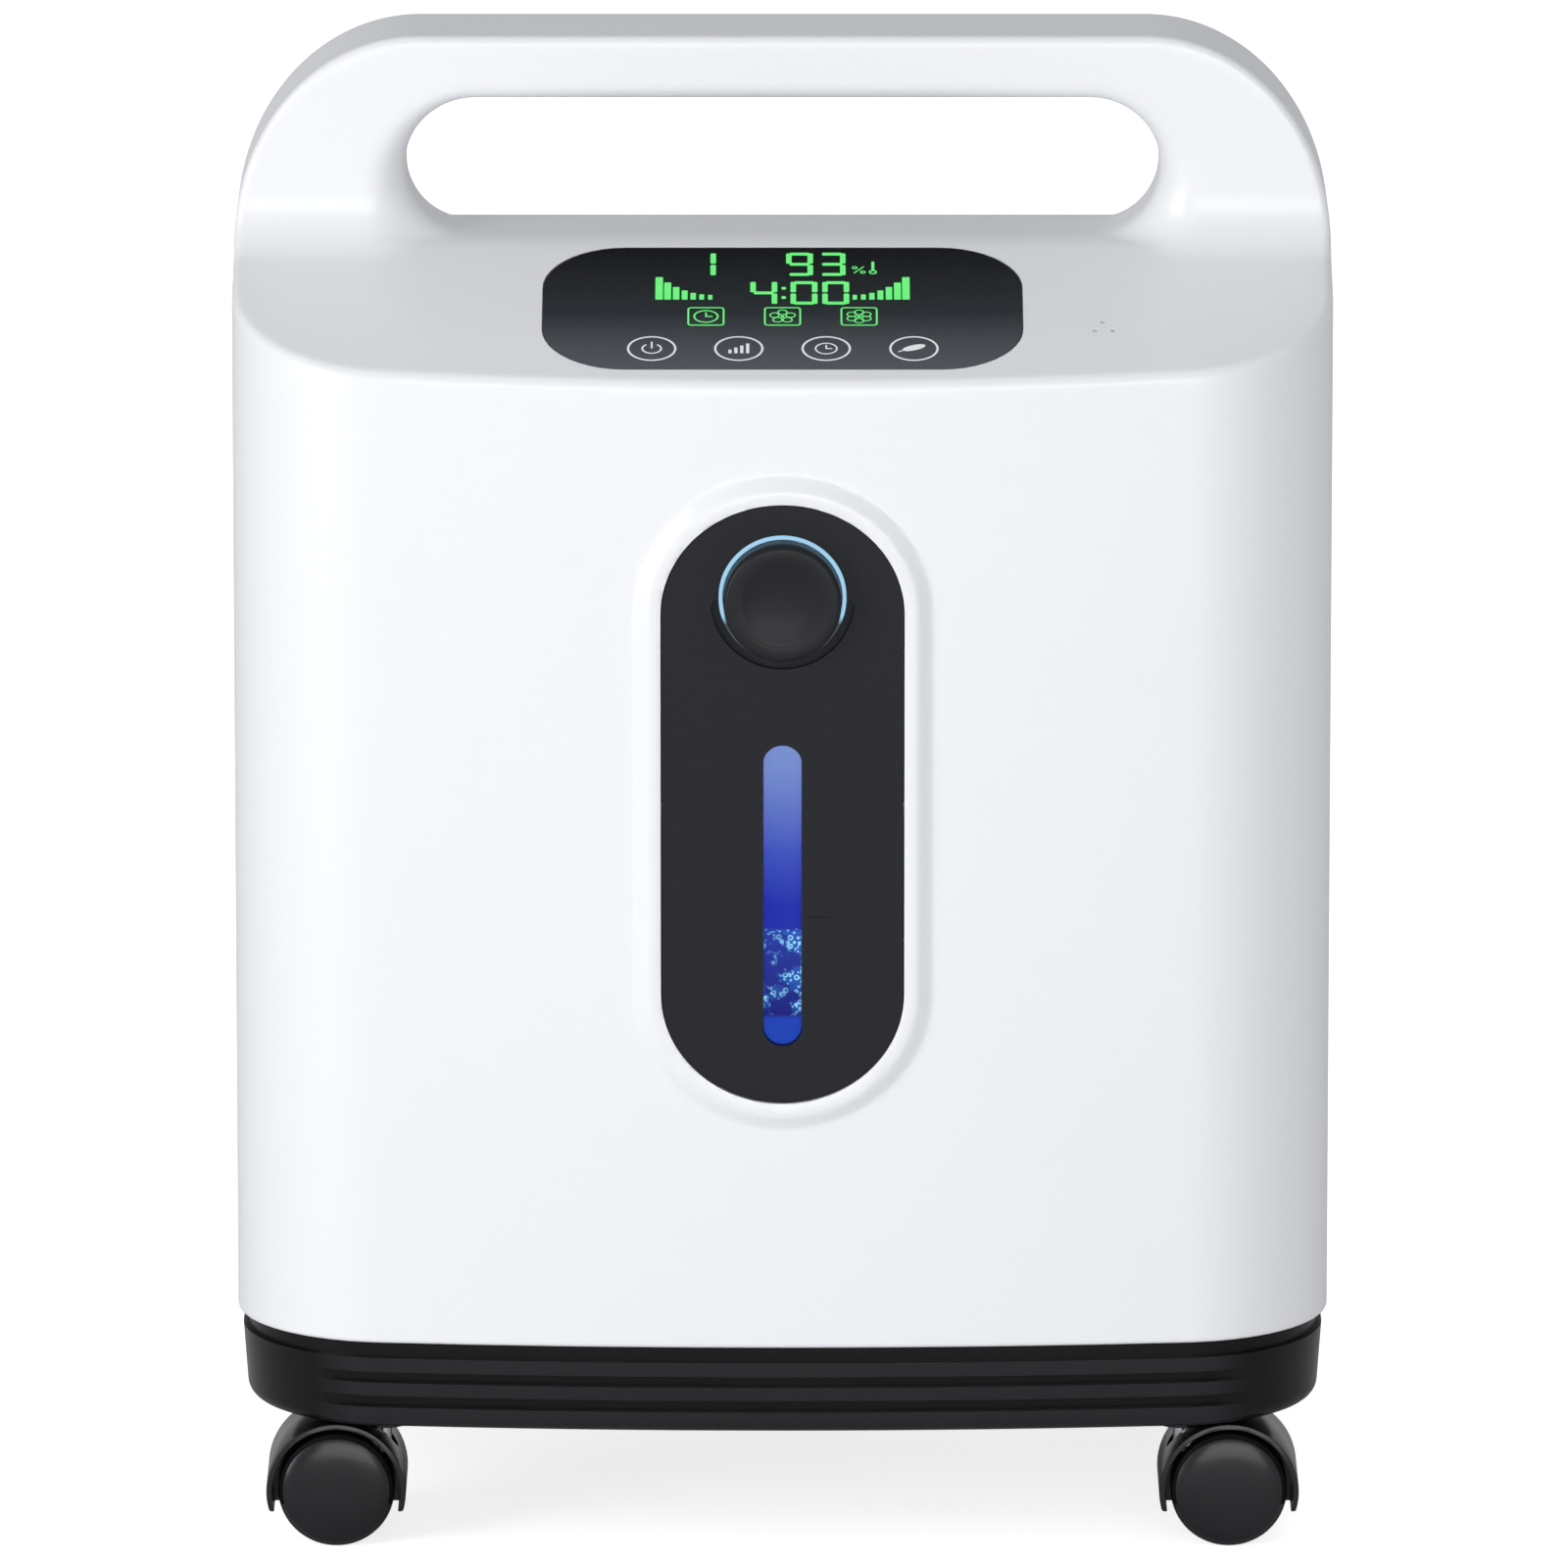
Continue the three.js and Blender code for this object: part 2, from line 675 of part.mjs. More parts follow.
function fanRotor() {
  const hub = rod("y", 17, fan.front + 5, fanBack - 2, [0, fan.z], 20);
  const blades = [];
  const count = 7;
  for (let i = 0; i < count; i += 1) {
    const blade = block([-13, -0.9, 14], [13, 0.9, 40]).rotateZ(0.6);
    blades.push(
      blade
        .translate(0, (fan.front + fanBack) / 2 + 1.5, 0)
        .rotateY((i * 2 * Math.PI) / count)
        .translate(0, 0, fan.z),
    );
  }
  return join(hub, ...blades);
}

piece("fan_frame", fanFrame(), blackPlastic);
piece("fan_rotor", fanRotor(), blackPlastic);

// ---- electronics ---------------------------------------------------------------------------------

function controlBoard() {
  const board = block([-130, 0, shelfZ + 10], [-4, 76, shelfZ + 11.6]);
  const parts = [
    block([-120, 10, shelfZ + 11], [-90, 30, shelfZ + 20]),
    block([-80, 8, shelfZ + 11], [-50, 22, shelfZ + 17]),
    block([-40, 40, shelfZ + 11], [-14, 66, shelfZ + 24]),
    rod("z", 8, shelfZ + 11, shelfZ + 32, [-108, 56], 14),
    rod("z", 8, shelfZ + 11, shelfZ + 32, [-84, 56], 14),
  ];
  for (const x of [-125, -9]) {
    for (const y of [5, 71]) {
      parts.push(rod("z", 3, shelfZ + 2 + gap, shelfZ + 10.5, [x, y], 8));
    }
  }
  return join(board, ...parts);
}

function equipmentShelf() {
  const plate = block([-168, -40, shelfZ], [168, 84, shelfZ + 2]);
  const lip = block([-168, 82, shelfZ], [168, 84, shelfZ + 12]);
  return join(plate, lip);
}

function powerSupply() {
  let supply = block([16, 2, shelfZ + 2 + gap], [140, 76, shelfZ + 40]);
  for (let i = 0; i < 5; i += 1) {
    const x = 30 + i * 22;
    supply = cut(supply, block([x, 16, shelfZ + 37], [x + 10, 62, shelfZ + 41]));
  }
  return supply;
}

piece("equipment_shelf", equipmentShelf(), steel);
piece("control_board", controlBoard(), { color: 0x1f5a36, roughness: 0.6, metalness: 0 });
piece("power_supply", powerSupply(), castAluminium);
const ioniserLow = [-30, -34, shelfZ + 2 + gap];
piece("anion_module", block(ioniserLow, [20, -8, shelfZ + 20]), { color: 0x2c4f8f, roughness: 0.4 });

// ---- humidifier ----------------------------------------------------------------------------------

const neck = { outer: 19, inner: 16.6, front: -118.8 };

function humidifierTank() {
  const t = tank.wall;
  const outer = block([-tank.halfWidth, tank.front, tank.low], [tank.halfWidth, tank.back, tank.high]);
  const low = [-tank.halfWidth + t, tank.front + t, tank.low + t];
  const inner = block(low, [tank.halfWidth - t, tank.back - t, tank.high - t]);
  const spout = rod("y", neck.outer, neck.front, tank.front + 1, [0, outletZ], 28);
  const mouth = rod("y", neck.inner, neck.front - 1, tank.front + t + 1, [0, outletZ], 28);
  const hollow = cut(join(outer, spout), inner, mouth);
  const tubeHole = rod("z", 3.2, tank.high - 5, tank.high + 5, [20, -88], 12);
  const nozzle = join(
    rod("y", 3.2, -116, tank.back - 1, [0, outletZ], 12),
    rod("y", 4.2, -112, -110, [0, outletZ], 12),
  );
  return join(cut(hollow, tubeHole), nozzle);
}

function bubblerTube() {
  const stalk = rod("z", 2.9, 184, tank.high + 14, [20, -88], 12);
  const diffuser = rod("z", 7, 178, 188, [20, -88], 12);
  return join(stalk, diffuser);
}

piece("humidifier_tank", humidifierTank(), clearPlastic);
piece("bubbler_tube", bubblerTube(), clearPlastic);

// ---- casters -------------------------------------------------------------------------------------

// Each caster is drawn with its swivel axis on Z and its wheels trailing towards +X.
function casterHood() {
  const outline = (radius, foot) => {
    const shape = new THREE.Shape();
    shape.moveTo(trail - radius, foot);
    shape.lineTo(trail + radius, foot);
    shape.absarc(trail, wheelRadius, radius, 0, Math.PI);
    return shape;
  };
  const footZ = 13;
  const cover = prismY(outline(hoodRadius, footZ), -wheelOuter, wheelOuter);
  const inside = prismY(outline(hoodInner, footZ - 5), -wheelOuter - 1, wheelOuter + 1);
  const arch = cut(cover, inside);
  const webHalf = wheelInner - 0.5;
  const web = prismY(outline(hoodInner + 0.5, footZ), -webHalf, webHalf);
  const boss = rod("z", 6.5, 37.5, hoodTop + 1.2, [0, 0], 14);
  const stemHole = rod("z", 3 + gap, 26, hoodTop + 5, [0, 0], 14);
  const axleHole = rod("y", 2.5 + gap, -10, 10, [trail, wheelRadius], 14);
  return cut(join(arch, web, boss), stemHole, axleHole);
}

function casterStem() {
  const profile = [
    [0, 26.5],
    [3, 26.5],
    [3, hoodTop + 1.6],
    [5, hoodTop + 1.6],
    [5, 69],
    [4, 70],
    [0, 70],
  ];
  return revolve(profile, 14).rotateX(Math.PI / 2);
}

function casterWheel(side) {
  const bore = 2.5 + gap;
  const profile = [
    [0, 16],
    [bore, 16],
    [bore, wheelInner],
    [wheelRadius - 1, wheelInner],
    [wheelRadius, wheelInner + 1],
    [wheelRadius, wheelOuter - 3],
    [wheelRadius - 2, wheelOuter - 1.4],
    [0, wheelOuter],
  ];
  const wheel = revolve(profile, 24);
  return side > 0 ? wheel : wheel.rotateX(Math.PI);
}

function caster(name, x, y) {
  const group = new THREE.Group();
  group.position.set(x, y, 0);
  group.rotation.z = x < 0 ? Math.PI : 0;
  model.add(group);
  piece(`caster_stem_${name}`, casterStem(), steel, group);
  piece(`caster_hood_${name}`, casterHood(), glossBlack, group);
  piece(`caster_axle_${name}`, rod("y", 2.5, -15.5, 15.5, [trail, wheelRadius], 14), steel, group);
  for (const [label, side] of [["front", -1], ["back", 1]]) {
    const facing = x < 0 ? -side : side;
    const wheel = piece(`caster_wheel_${name}_${label}`, casterWheel(facing), glossBlack, group);
    wheel.position.set(trail, 0, wheelRadius);
  }
}

caster("front_left", -stemX, casterY.front);
caster("front_right", stemX, casterY.front);
caster("rear_left", -stemX, casterY.rear);
caster("rear_right", stemX, casterY.rear);

export default model;
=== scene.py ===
import math

import bpy
import numpy as np
from mathutils import Matrix, Vector
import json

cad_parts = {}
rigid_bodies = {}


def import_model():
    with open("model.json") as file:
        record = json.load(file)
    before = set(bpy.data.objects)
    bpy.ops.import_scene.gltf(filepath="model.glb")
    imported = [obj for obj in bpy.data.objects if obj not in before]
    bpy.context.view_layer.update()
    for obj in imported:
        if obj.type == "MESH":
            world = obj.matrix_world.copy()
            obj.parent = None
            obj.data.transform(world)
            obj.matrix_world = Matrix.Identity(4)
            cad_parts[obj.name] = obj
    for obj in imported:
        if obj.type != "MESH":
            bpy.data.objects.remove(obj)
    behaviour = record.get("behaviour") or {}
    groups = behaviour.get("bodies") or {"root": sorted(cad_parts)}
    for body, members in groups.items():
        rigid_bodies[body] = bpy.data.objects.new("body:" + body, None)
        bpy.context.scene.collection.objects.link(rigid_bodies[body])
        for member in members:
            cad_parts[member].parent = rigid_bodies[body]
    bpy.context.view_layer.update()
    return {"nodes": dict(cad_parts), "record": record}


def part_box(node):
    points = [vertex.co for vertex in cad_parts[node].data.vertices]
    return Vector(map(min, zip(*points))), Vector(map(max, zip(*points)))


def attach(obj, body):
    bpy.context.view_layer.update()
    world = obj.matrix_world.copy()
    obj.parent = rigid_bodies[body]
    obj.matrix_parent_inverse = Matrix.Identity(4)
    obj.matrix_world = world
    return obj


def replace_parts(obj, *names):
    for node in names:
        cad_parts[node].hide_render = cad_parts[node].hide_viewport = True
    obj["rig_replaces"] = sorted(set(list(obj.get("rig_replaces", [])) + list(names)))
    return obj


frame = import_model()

scene = bpy.context.scene
metre = 1000.0  # shapes are worked in millimetres and scaled to metres when a piece is finished


def report(stage):
    print("stage:", stage)


# selection, primitives and edit-mode steps

def deselectAll():
    for item in list(bpy.context.selected_objects):
        item.select_set(False)


def pick(piece):
    deselectAll()
    piece.select_set(True)
    bpy.context.view_layer.objects.active = piece


def named(name):
    piece = bpy.context.object
    piece.name = name
    piece.data.name = name
    return piece


def applyPlace(piece):
    pick(piece)
    bpy.ops.object.transform_apply(location=True, rotation=True, scale=True)
    return piece


def onPlane(axis, a, b, along):
    # a point at a, b on the plane square to the axis, at a place along it
    return {"x": (along, a, b), "y": (a, along, b), "z": (a, b, along)}[axis]


def addBox(name, low, high):
    deselectAll()
    centre = [(a + b) / 2 for a, b in zip(low, high)]
    size = [b - a for a, b in zip(low, high)]
    bpy.ops.mesh.primitive_cube_add(size=1, location=centre, scale=size)
    return applyPlace(named(name))


def addRod(name, radius, axis, low, high, centre, sides=48):
    deselectAll()
    turn = {"x": (0, math.pi / 2, 0), "y": (math.pi / 2, 0, 0), "z": (0, 0, 0)}[axis]
    middle = (low + high) / 2
    bpy.ops.mesh.primitive_cylinder_add(vertices=sides, radius=radius, depth=high - low,
                                        location=onPlane(axis, *centre, middle), rotation=turn)
    return applyPlace(named(name))


def addOutline(name, points, axis, low, high):
    # a filled circle moved onto the outline, then extruded square to it
    deselectAll()
    bpy.ops.mesh.primitive_circle_add(vertices=len(points), radius=1, fill_type="NGON")
    piece = named(name)
    for vertex, (a, b) in zip(piece.data.vertices, points):
        vertex.co = onPlane(axis, a, b, low)
    openEdit(piece)
    bpy.ops.mesh.extrude_region_move(
        TRANSFORM_OT_translate={"value": onPlane(axis, 0, 0, high - low)})
    faceOut()
    closeEdit()
    return piece


def addSpin(name, profile, axis, centre, steps=64):
    # a wire loop moved onto the profile (radius, along), then spun about the axis
    deselectAll()
    bpy.ops.mesh.primitive_circle_add(vertices=len(profile), radius=1, fill_type="NOTHING")
    piece = named(name)
    for vertex, (radius, along) in zip(piece.data.vertices, profile):
        vertex.co = Vector(onPlane(axis, radius, 0, along)) + Vector(centre)
    openEdit(piece)
    bpy.ops.mesh.spin(
        steps=steps, angle=2 * math.pi, center=centre, axis=onPlane(axis, 0, 0, 1))
    bpy.ops.mesh.select_all(action="SELECT")
    bpy.ops.mesh.remove_doubles(threshold=0.0005)
    bpy.ops.mesh.dissolve_degenerate(threshold=0.0005)
    faceOut()
    closeEdit()
    return piece


def openEdit(piece, mode="FACE"):
    pick(piece)
    bpy.ops.object.mode_set(mode="EDIT")
    bpy.ops.mesh.select_mode(type=mode)
    bpy.ops.mesh.select_all(action="SELECT")


def closeEdit():
    bpy.ops.object.mode_set(mode="OBJECT")


def faceOut():
    bpy.ops.mesh.select_all(action="SELECT")
    bpy.ops.mesh.normals_make_consistent(inside=False)


def chooseEdges(piece, test, angle=30):
    # sharp edges whose middle passes the test stay selected
    openEdit(piece, "EDGE")
    bpy.ops.mesh.select_all(action="DESELECT")
    bpy.ops.mesh.edges_select_sharp(sharpness=math.radians(angle))
    closeEdit()
    mesh = piece.data
    for face in mesh.polygons:
        face.select = False
    chosen = set()
    for edge in mesh.edges:
        if edge.select:
            a, b = (mesh.vertices[i].co for i in edge.vertices)
            edge.select = bool(test((a + b) / 2))
        if edge.select:
            chosen.update(edge.vertices)
    for vertex in mesh.vertices:
        vertex.select = vertex.index in chosen
    bpy.ops.object.mode_set(mode="EDIT")
    bpy.ops.mesh.select_mode(type="EDGE")


def roundEdges(piece, width, segments=3, angle=30, test=lambda middle: True):
    chooseEdges(piece, test, angle)
    bpy.ops.mesh.bevel(
        offset=width, segments=segments, profile=0.5, affect="EDGES", clamp_overlap=True)
    closeEdit()
    return piece


def applyStep(piece, kind, **settings):
    # one modifier, added and applied
    pick(piece)
    step = piece.modifiers.new("step", kind)
    for key, value in settings.items():
        setattr(step, key, value)
    bpy.ops.object.modifier_apply(modifier=step.name)


def carve(piece, *cutters, operation="DIFFERENCE"):
    for cutter in cutters:
        applyStep(piece, "BOOLEAN", operation=operation, solver="MANIFOLD", object=cutter)
        bpy.data.objects.remove(cutter)
    return piece


def weld(piece, *others):
    return carve(piece, *others, operation="UNION")


def duplicate(piece, name):
    copy = piece.copy()
    copy.data = piece.data.copy()
    copy.name = name
    copy.data.name = name
    scene.collection.objects.link(copy)
    return copy


def joinAll(pieces, name):
    deselectAll()
    for item in pieces:
        item.select_set(True)
    bpy.context.view_layer.objects.active = pieces[0]
    bpy.ops.object.join()
    return named(name)


def finishPiece(piece, body, material, replaced=(), angle=35, even=False):
    piece.data.transform(Matrix.Scale(1 / metre, 4))
    pick(piece)
    bpy.ops.object.shade_smooth_by_angle(angle=math.radians(angle))
    if even:  # large flat faces set the shading of the narrow ones round them
        applyStep(piece, "WEIGHTED_NORMAL", keep_sharp=True)
    piece.data.materials.clear()
    piece.data.materials.append(material)
    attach(piece, body)
    if replaced:
        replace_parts(piece, *replaced)
    return piece


def boxOf(node):
    low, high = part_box(node)
    return low * metre, high * metre


def camel(node):
    first, *rest = node.split("_")
    return first + "".join(part.capitalize() for part in rest)


# shader maths: a socket that takes part in Python expressions

def setSlot(tree, slot, value):
    # a wire is linked, a plain value is written, and a colour of three numbers is made opaque
    if isinstance(value, Wire):
        tree.links.new(value.socket, slot)
    elif slot.type == "RGBA" and len(value) == 3:
        slot.default_value = (*value, 1)
    else:
        slot.default_value = value


class Wire:
    def __init__(self, tree, socket):
        self.tree = tree
        self.socket = socket

    def math(self, operation, *values):
        step = self.tree.nodes.new("ShaderNodeMath")
        step.operation = operation
        for slot, value in zip(step.inputs, values):
            setSlot(self.tree, slot, value)
        return Wire(self.tree, step.outputs[0])

    def __add__(self, other):
        return self.math("ADD", self, other)

    def __radd__(self, other):
        return self.math("ADD", other, self)

    def __sub__(self, other):
        return self.math("SUBTRACT", self, other)

    def __rsub__(self, other):
        return self.math("SUBTRACT", other, self)

    def __mul__(self, other):
        return self.math("MULTIPLY", self, other)

    def __rmul__(self, other):
        return self.math("MULTIPLY", other, self)

    def __truediv__(self, other):
        return self.math("DIVIDE", self, other)

    def clamp(self):
        return self.math("MINIMUM", self.math("MAXIMUM", self, 0.0), 1.0)

    def step(self, low, high):
        # 0 below low, 1 above high
        return ((self - low) / (high - low)).clamp()


class Finish:
    # one procedural material, with its Principled shader
    def __init__(self, name, **sockets):
        self.material = bpy.data.materials.new(name)
        self.material.use_nodes = True
        self.tree = self.material.node_tree
        self.shader = self.tree.nodes["Principled BSDF"]
        self.coords = self.node("ShaderNodeTexCoord", out="Object")
        for key, value in sockets.items():
            self.feed(key, value)

    def node(self, kind, inputs=None, settings=None, out=0):
        step = self.tree.nodes.new(kind)
        for key, value in (settings or {}).items():
            if key == "stops":
                self.setStops(step.color_ramp.elements, value)
            else:
                setattr(step, key, value)
        for key, value in (inputs or {}).items():
            setSlot(self.tree, step.inputs[key], value)
        return Wire(self.tree, step.outputs[out])

    def setStops(self, elements, stops):
        while len(elements) < len(stops):
            elements.new(0.5)
        for element, (place, colour) in zip(elements, stops):
            element.position = place
            element.color = (*colour, 1)

    def ramp(self, share, stops):
        return self.node("ShaderNodeValToRGB", {"Fac": share}, {"stops": stops})

    def feed(self, key, value):
        setSlot(self.tree, self.shader.inputs[key.replace("_", " ")], value)

    def noise(self, scale, detail=2.0, roughness=0.5):
        return self.node("ShaderNodeTexNoise", {
            "Vector": self.coords, "Scale": scale, "Detail": detail, "Roughness": roughness})

    def tint(self, dark, light, scale=9.0, detail=3.0):
        # the base colour drifts between two shades
        drift = self.noise(scale, detail)
        self.feed("Base Color", self.mix(drift, dark, light))
        return drift

    def cells(self, scale):
        return self.node("ShaderNodeTexVoronoi", {
            "Vector": self.coords, "Scale": scale}, out="Distance")

    def mix(self, factor, first, second):
        # inputs 0, 6 and 7 are the factor and the two colours, and output 2 is the mixed colour
        inputs = {0: factor, 6: first, 7: second}
        return self.node("ShaderNodeMix", inputs, {"data_type": "RGBA"}, out=2)

    def bump(self, height, distance):
        normal = self.node("ShaderNodeBump", {
            "Height": height, "Distance": distance, "Strength": 1.0})
        self.feed("Normal", normal)

    def axis(self, name):
        return self.node("ShaderNodeSeparateXYZ", {"Vector": self.coords}, out=name)


# camera, floor and light

def aimAlong(item, direction):
    item.rotation_mode = "QUATERNION"
    item.rotation_quaternion = direction.to_track_quat("-Z", "Y")


def makeCamera():
    look = {"aim": (0.0005, -0.095, 0.2697), "elevation": 13.0, "distance": 6.5, "lens": 438.5,
            "sensor": 36, "far": 60}
    tilt = math.radians(look["elevation"])
    back = Vector((0, -math.cos(tilt), math.sin(tilt)))
    deselectAll()
    bpy.ops.object.camera_add()
    camera = bpy.context.object
    camera.name = "studioCamera"
    camera.location = Vector(look["aim"]) + back * look["distance"]
    aimAlong(camera, -back)
    camera.data.lens = look["lens"]
    camera.data.sensor_width = look["sensor"]
    camera.data.clip_end = look["far"]
    scene.camera = camera


def addSoftLight(name, place, aim, size, power):
    deselectAll()
    bpy.ops.object.light_add(type="AREA", location=place)
    lamp = bpy.context.object
    lamp.name = name
    lamp.data.shape = "RECTANGLE"
    lamp.data.size, lamp.data.size_y = size
    lamp.data.energy = power
    aimAlong(lamp, Vector(aim) - Vector(place))


def makeStudio():
    studio = {"floorSize": 60.0, "floorGlow": 0.75, "sky": 0.5, "skyToEye": 0.6,
              "lampAim": (0, 0, 0.25), "lampPower": 66}
    deselectAll()
    bpy.ops.mesh.primitive_plane_add(size=studio["floorSize"])
    floor = named("studioFloor")
    pale = Finish("paleFloor", Roughness=0.9, Emission_Strength=studio["floorGlow"])
    pale.tint((0.88, 0.88, 0.89), (0.91, 0.91, 0.91), 3.0, 2.0)
    seen = pale.node("ShaderNodeLightPath")  # the floor glows to the eye, not onto the object
    pale.feed("Emission Color", pale.mix(seen, (0, 0, 0), (1, 1, 1)))
    floor.data.materials.append(pale.material)
    world = bpy.data.worlds.new("studioSky")
    world.use_nodes = True
    scene.world = world
    background = world.node_tree.nodes["Background"]
    background.inputs["Color"].default_value = (0.97, 0.98, 1.0, 1)
    rays = world.node_tree.nodes.new("ShaderNodeLightPath")  # the sky is brighter to the eye
    strength = Wire(world.node_tree, rays.outputs["Is Camera Ray"]) * studio["skyToEye"] + studio["sky"]
    world.node_tree.links.new(strength.socket, background.inputs["Strength"])
    for name, place, size in (("keyLeft", (-2.85, -2.4, 0.9), (1.4, 2.8)),
                              ("fillFront", (0.45, -4.6, 0.9), (3.2, 2.2))):
        addSoftLight(name, place, studio["lampAim"], size, studio["lampPower"])
    scene.view_settings.view_transform = "Standard"
    scene.view_settings.look = "None"


makeCamera()
makeStudio()
report("camera, floor and light")


# finishes

mould = {"grainScale": 2600.0, "grainDepth": 0.00002, "unevenGloss": 0.03, "unevenCoat": 0.04}


def plastic(name, dark, light, roughness, grain=1.2, coat=0.0, shine=0.5):
    # moulded plastic: faint colour drift, a fine spark-eroded grain and slightly uneven gloss
    made = Finish(name, Coat_Roughness=0.1, Specular_IOR_Level=shine)
    drift = made.tint(dark, light)
    fine = made.noise(mould["grainScale"] / grain, 2.0)
    uneven = mould["unevenGloss"]
    made.feed("Roughness", roughness + (drift - 0.5) * uneven + (fine - 0.5) * uneven)
    made.feed("Coat Weight", coat + (drift - 0.5) * mould["unevenCoat"] if coat else 0.0)
    made.bump(fine, mould["grainDepth"])
    return made.material


whiteShell = plastic("satinWhitePlastic", (0.830, 0.840, 0.862), (0.850, 0.858, 0.876), 0.34,
                     coat=0.22)


# the white shells

def smoothStep(low, high, value):
    t = np.clip((value - low) / (high - low), 0, 1)
    return t * t * (3 - 2 * t)


def rolled(a, b, radius):
    # where two insides overlap, with a round edge
    return np.minimum(np.maximum(a, b), -radius) + np.hypot(
        np.maximum(a + radius, 0), np.maximum(b + radius, 0))


def eased(a, b, width):
    # two planes that meet at a shallow angle, with a soft ridge
    near = np.maximum(width - np.abs(a - b), 0) / width
    return np.maximum(a, b) + near * near * width / 4


def filleted(a, b, radius):
    # two insides joined, with a hollow fillet between them
    return np.maximum(np.minimum(a, b), radius) - np.hypot(
        np.maximum(radius - a, 0), np.maximum(radius - b, 0))


def ellipseGap(x, z, a, b):
    near = np.maximum(np.hypot(x / a, z / b), 1e-6)
    slope = np.maximum(np.hypot(x / a ** 2, z / b ** 2), 1e-9)
    return (near - 1) * near / slope


shellFront = boxOf("front_shell")
shellRear = boxOf("rear_shell")
shell = {
    "halfWidth": shellFront[1].x, "front": -117.5, "rear": 127.5, "skirt": shellFront[0].z,
    "top": shellFront[1].z, "bow": 1350.0, "corner": 55.0, "deckFront": 413.5,
    "slope": math.radians(18), "ridge": 444.4, "ridgeSoft": 2.4, "handleHalf": 23.0,
    "shoulder": (63.0, 72.0),
    "slotHalf": 129.0, "slotRadius": 24.1, "slotTop": 492.7, "flareTop": 5.0, "flareSide": 14.0,
    "rootFillet": 14.0, "slotFillet": 23.0, "rimRoll": 3.0, "skirtRoll": 1.4,
    "flareBlend": (5, -30), "filletBlend": (26, 12),
    "wall": 2.8, "voxel": 2.5, "parting": 0.15, "beadDepth": 1.2, "beadHalf": 0.1,
    "play": 0.3, "insetPlay": 0.25, "ovalDepth": 9, "cutX": 250, "cutY": 200, "cutZ": 600,
    "holes": ((108.7, 42.1), (106.0, 36.3), (112.0, 36.3)), "holeRadius": 1.0,
}
oval = {"half": 41.1, "low": 164.0, "high": 372.0, "end": 38.0, "lip": 3.4, "lipWidth": 3.8,
        "fade": 10.5, "rebate": 0.6, "rebateWidth": 1.3, "frontOf": -90}


def planCorner():
    # across and along from a bow's centre to its corner's centre, and the distance between them
    cornerX = shell["halfWidth"] - shell["corner"]
    reach = shell["bow"] - shell["corner"]
    return cornerX, math.sqrt(reach ** 2 - cornerX ** 2), reach


def planGap(x, y):
    side = np.abs(x)
    cornerX, drop, _ = planCorner()
    lean = cornerX / drop
    gap = side - shell["halfWidth"]
    for face, way in ((shell["front"], -1), (shell["rear"], 1)):
        centre = face - way * shell["bow"]
        out = way * (y - centre) - drop
        gap = np.maximum(gap, np.hypot(x, y - centre) - shell["bow"])
        inCorner = (out > 0) & (side - cornerX > out * lean)
        gap = np.where(inCorner, np.hypot(side - cornerX, out) - shell["corner"], gap)
    return gap


def ovalGap(x, z):
    above = np.maximum(z - (oval["high"] - oval["end"]), 0)
    up = above - np.maximum(oval["low"] + oval["end"] - z, 0)
    return np.where(up == 0, np.abs(x) - oval["half"], ellipseGap(x, up, oval["half"], oval["end"]))


def shellGap(x, y, z):
    # how far a point lies outside the finished surface of both shells together
    tan, cos = math.tan(shell["slope"]), math.cos(shell["slope"])
    rearDeck = shell["deckFront"] + tan * (-shell["rear"] - shell["front"])
    deckFront = (z - shell["deckFront"] - (y - shell["front"]) * tan) * cos
    deckRear = (z - rearDeck - (shell["rear"] - y) * tan) * cos
    roof = eased(np.maximum(deckFront, deckRear), z - shell["ridge"], shell["ridgeSoft"])
    side = np.abs(x)
    archX = np.maximum(side - shell["slotHalf"] + shell["slotRadius"], 0)
    archZ = np.maximum(z - shell["slotTop"] + shell["slotRadius"], 0)
    slotGap = np.hypot(archX, archZ) - shell["slotRadius"]
    flare = shell["flareTop"] + (shell["flareSide"] - shell["flareTop"]) * smoothStep(
        *(shell["slotTop"] + step for step in shell["flareBlend"]), z)
    handle = rolled(np.abs(y) - shell["handleHalf"], -slotGap, flare)
    fillet = shell["rootFillet"] + (shell["slotFillet"] - shell["rootFillet"]) * smoothStep(
        *shell["filletBlend"], np.abs(y))
    body = filleted(roof, handle, fillet)
    a, b = shell["shoulder"]
    out, up = side - (shell["halfWidth"] - a), z - (shell["top"] - b)
    outline = np.maximum(side - shell["halfWidth"], z - shell["top"])
    outline = np.where((out > 0) & (up > 0), ellipseGap(out, up, a, b), outline)
    gap = rolled(body, np.maximum(outline, planGap(x, y)), shell["rimRoll"])
    gap = rolled(gap, shell["skirt"] - z, shell["skirtRoll"])
    away = ovalGap(x, z)
    lip = oval["lip"] * smoothStep(oval["fade"], oval["lipWidth"], away)
    lip = lip - oval["rebate"] * smoothStep(oval["rebateWidth"], 0, away)
    return gap - np.where(y < oval["frontOf"], lip, 0)


def arcPoints(centre, radius, start, end, steps):
    spread = np.linspace(math.radians(start), math.radians(end), steps)
    rx, ry = radius if isinstance(radius, tuple) else (radius, radius)
    return [(centre[0] + rx * math.cos(t), centre[1] + ry * math.sin(t)) for t in spread]


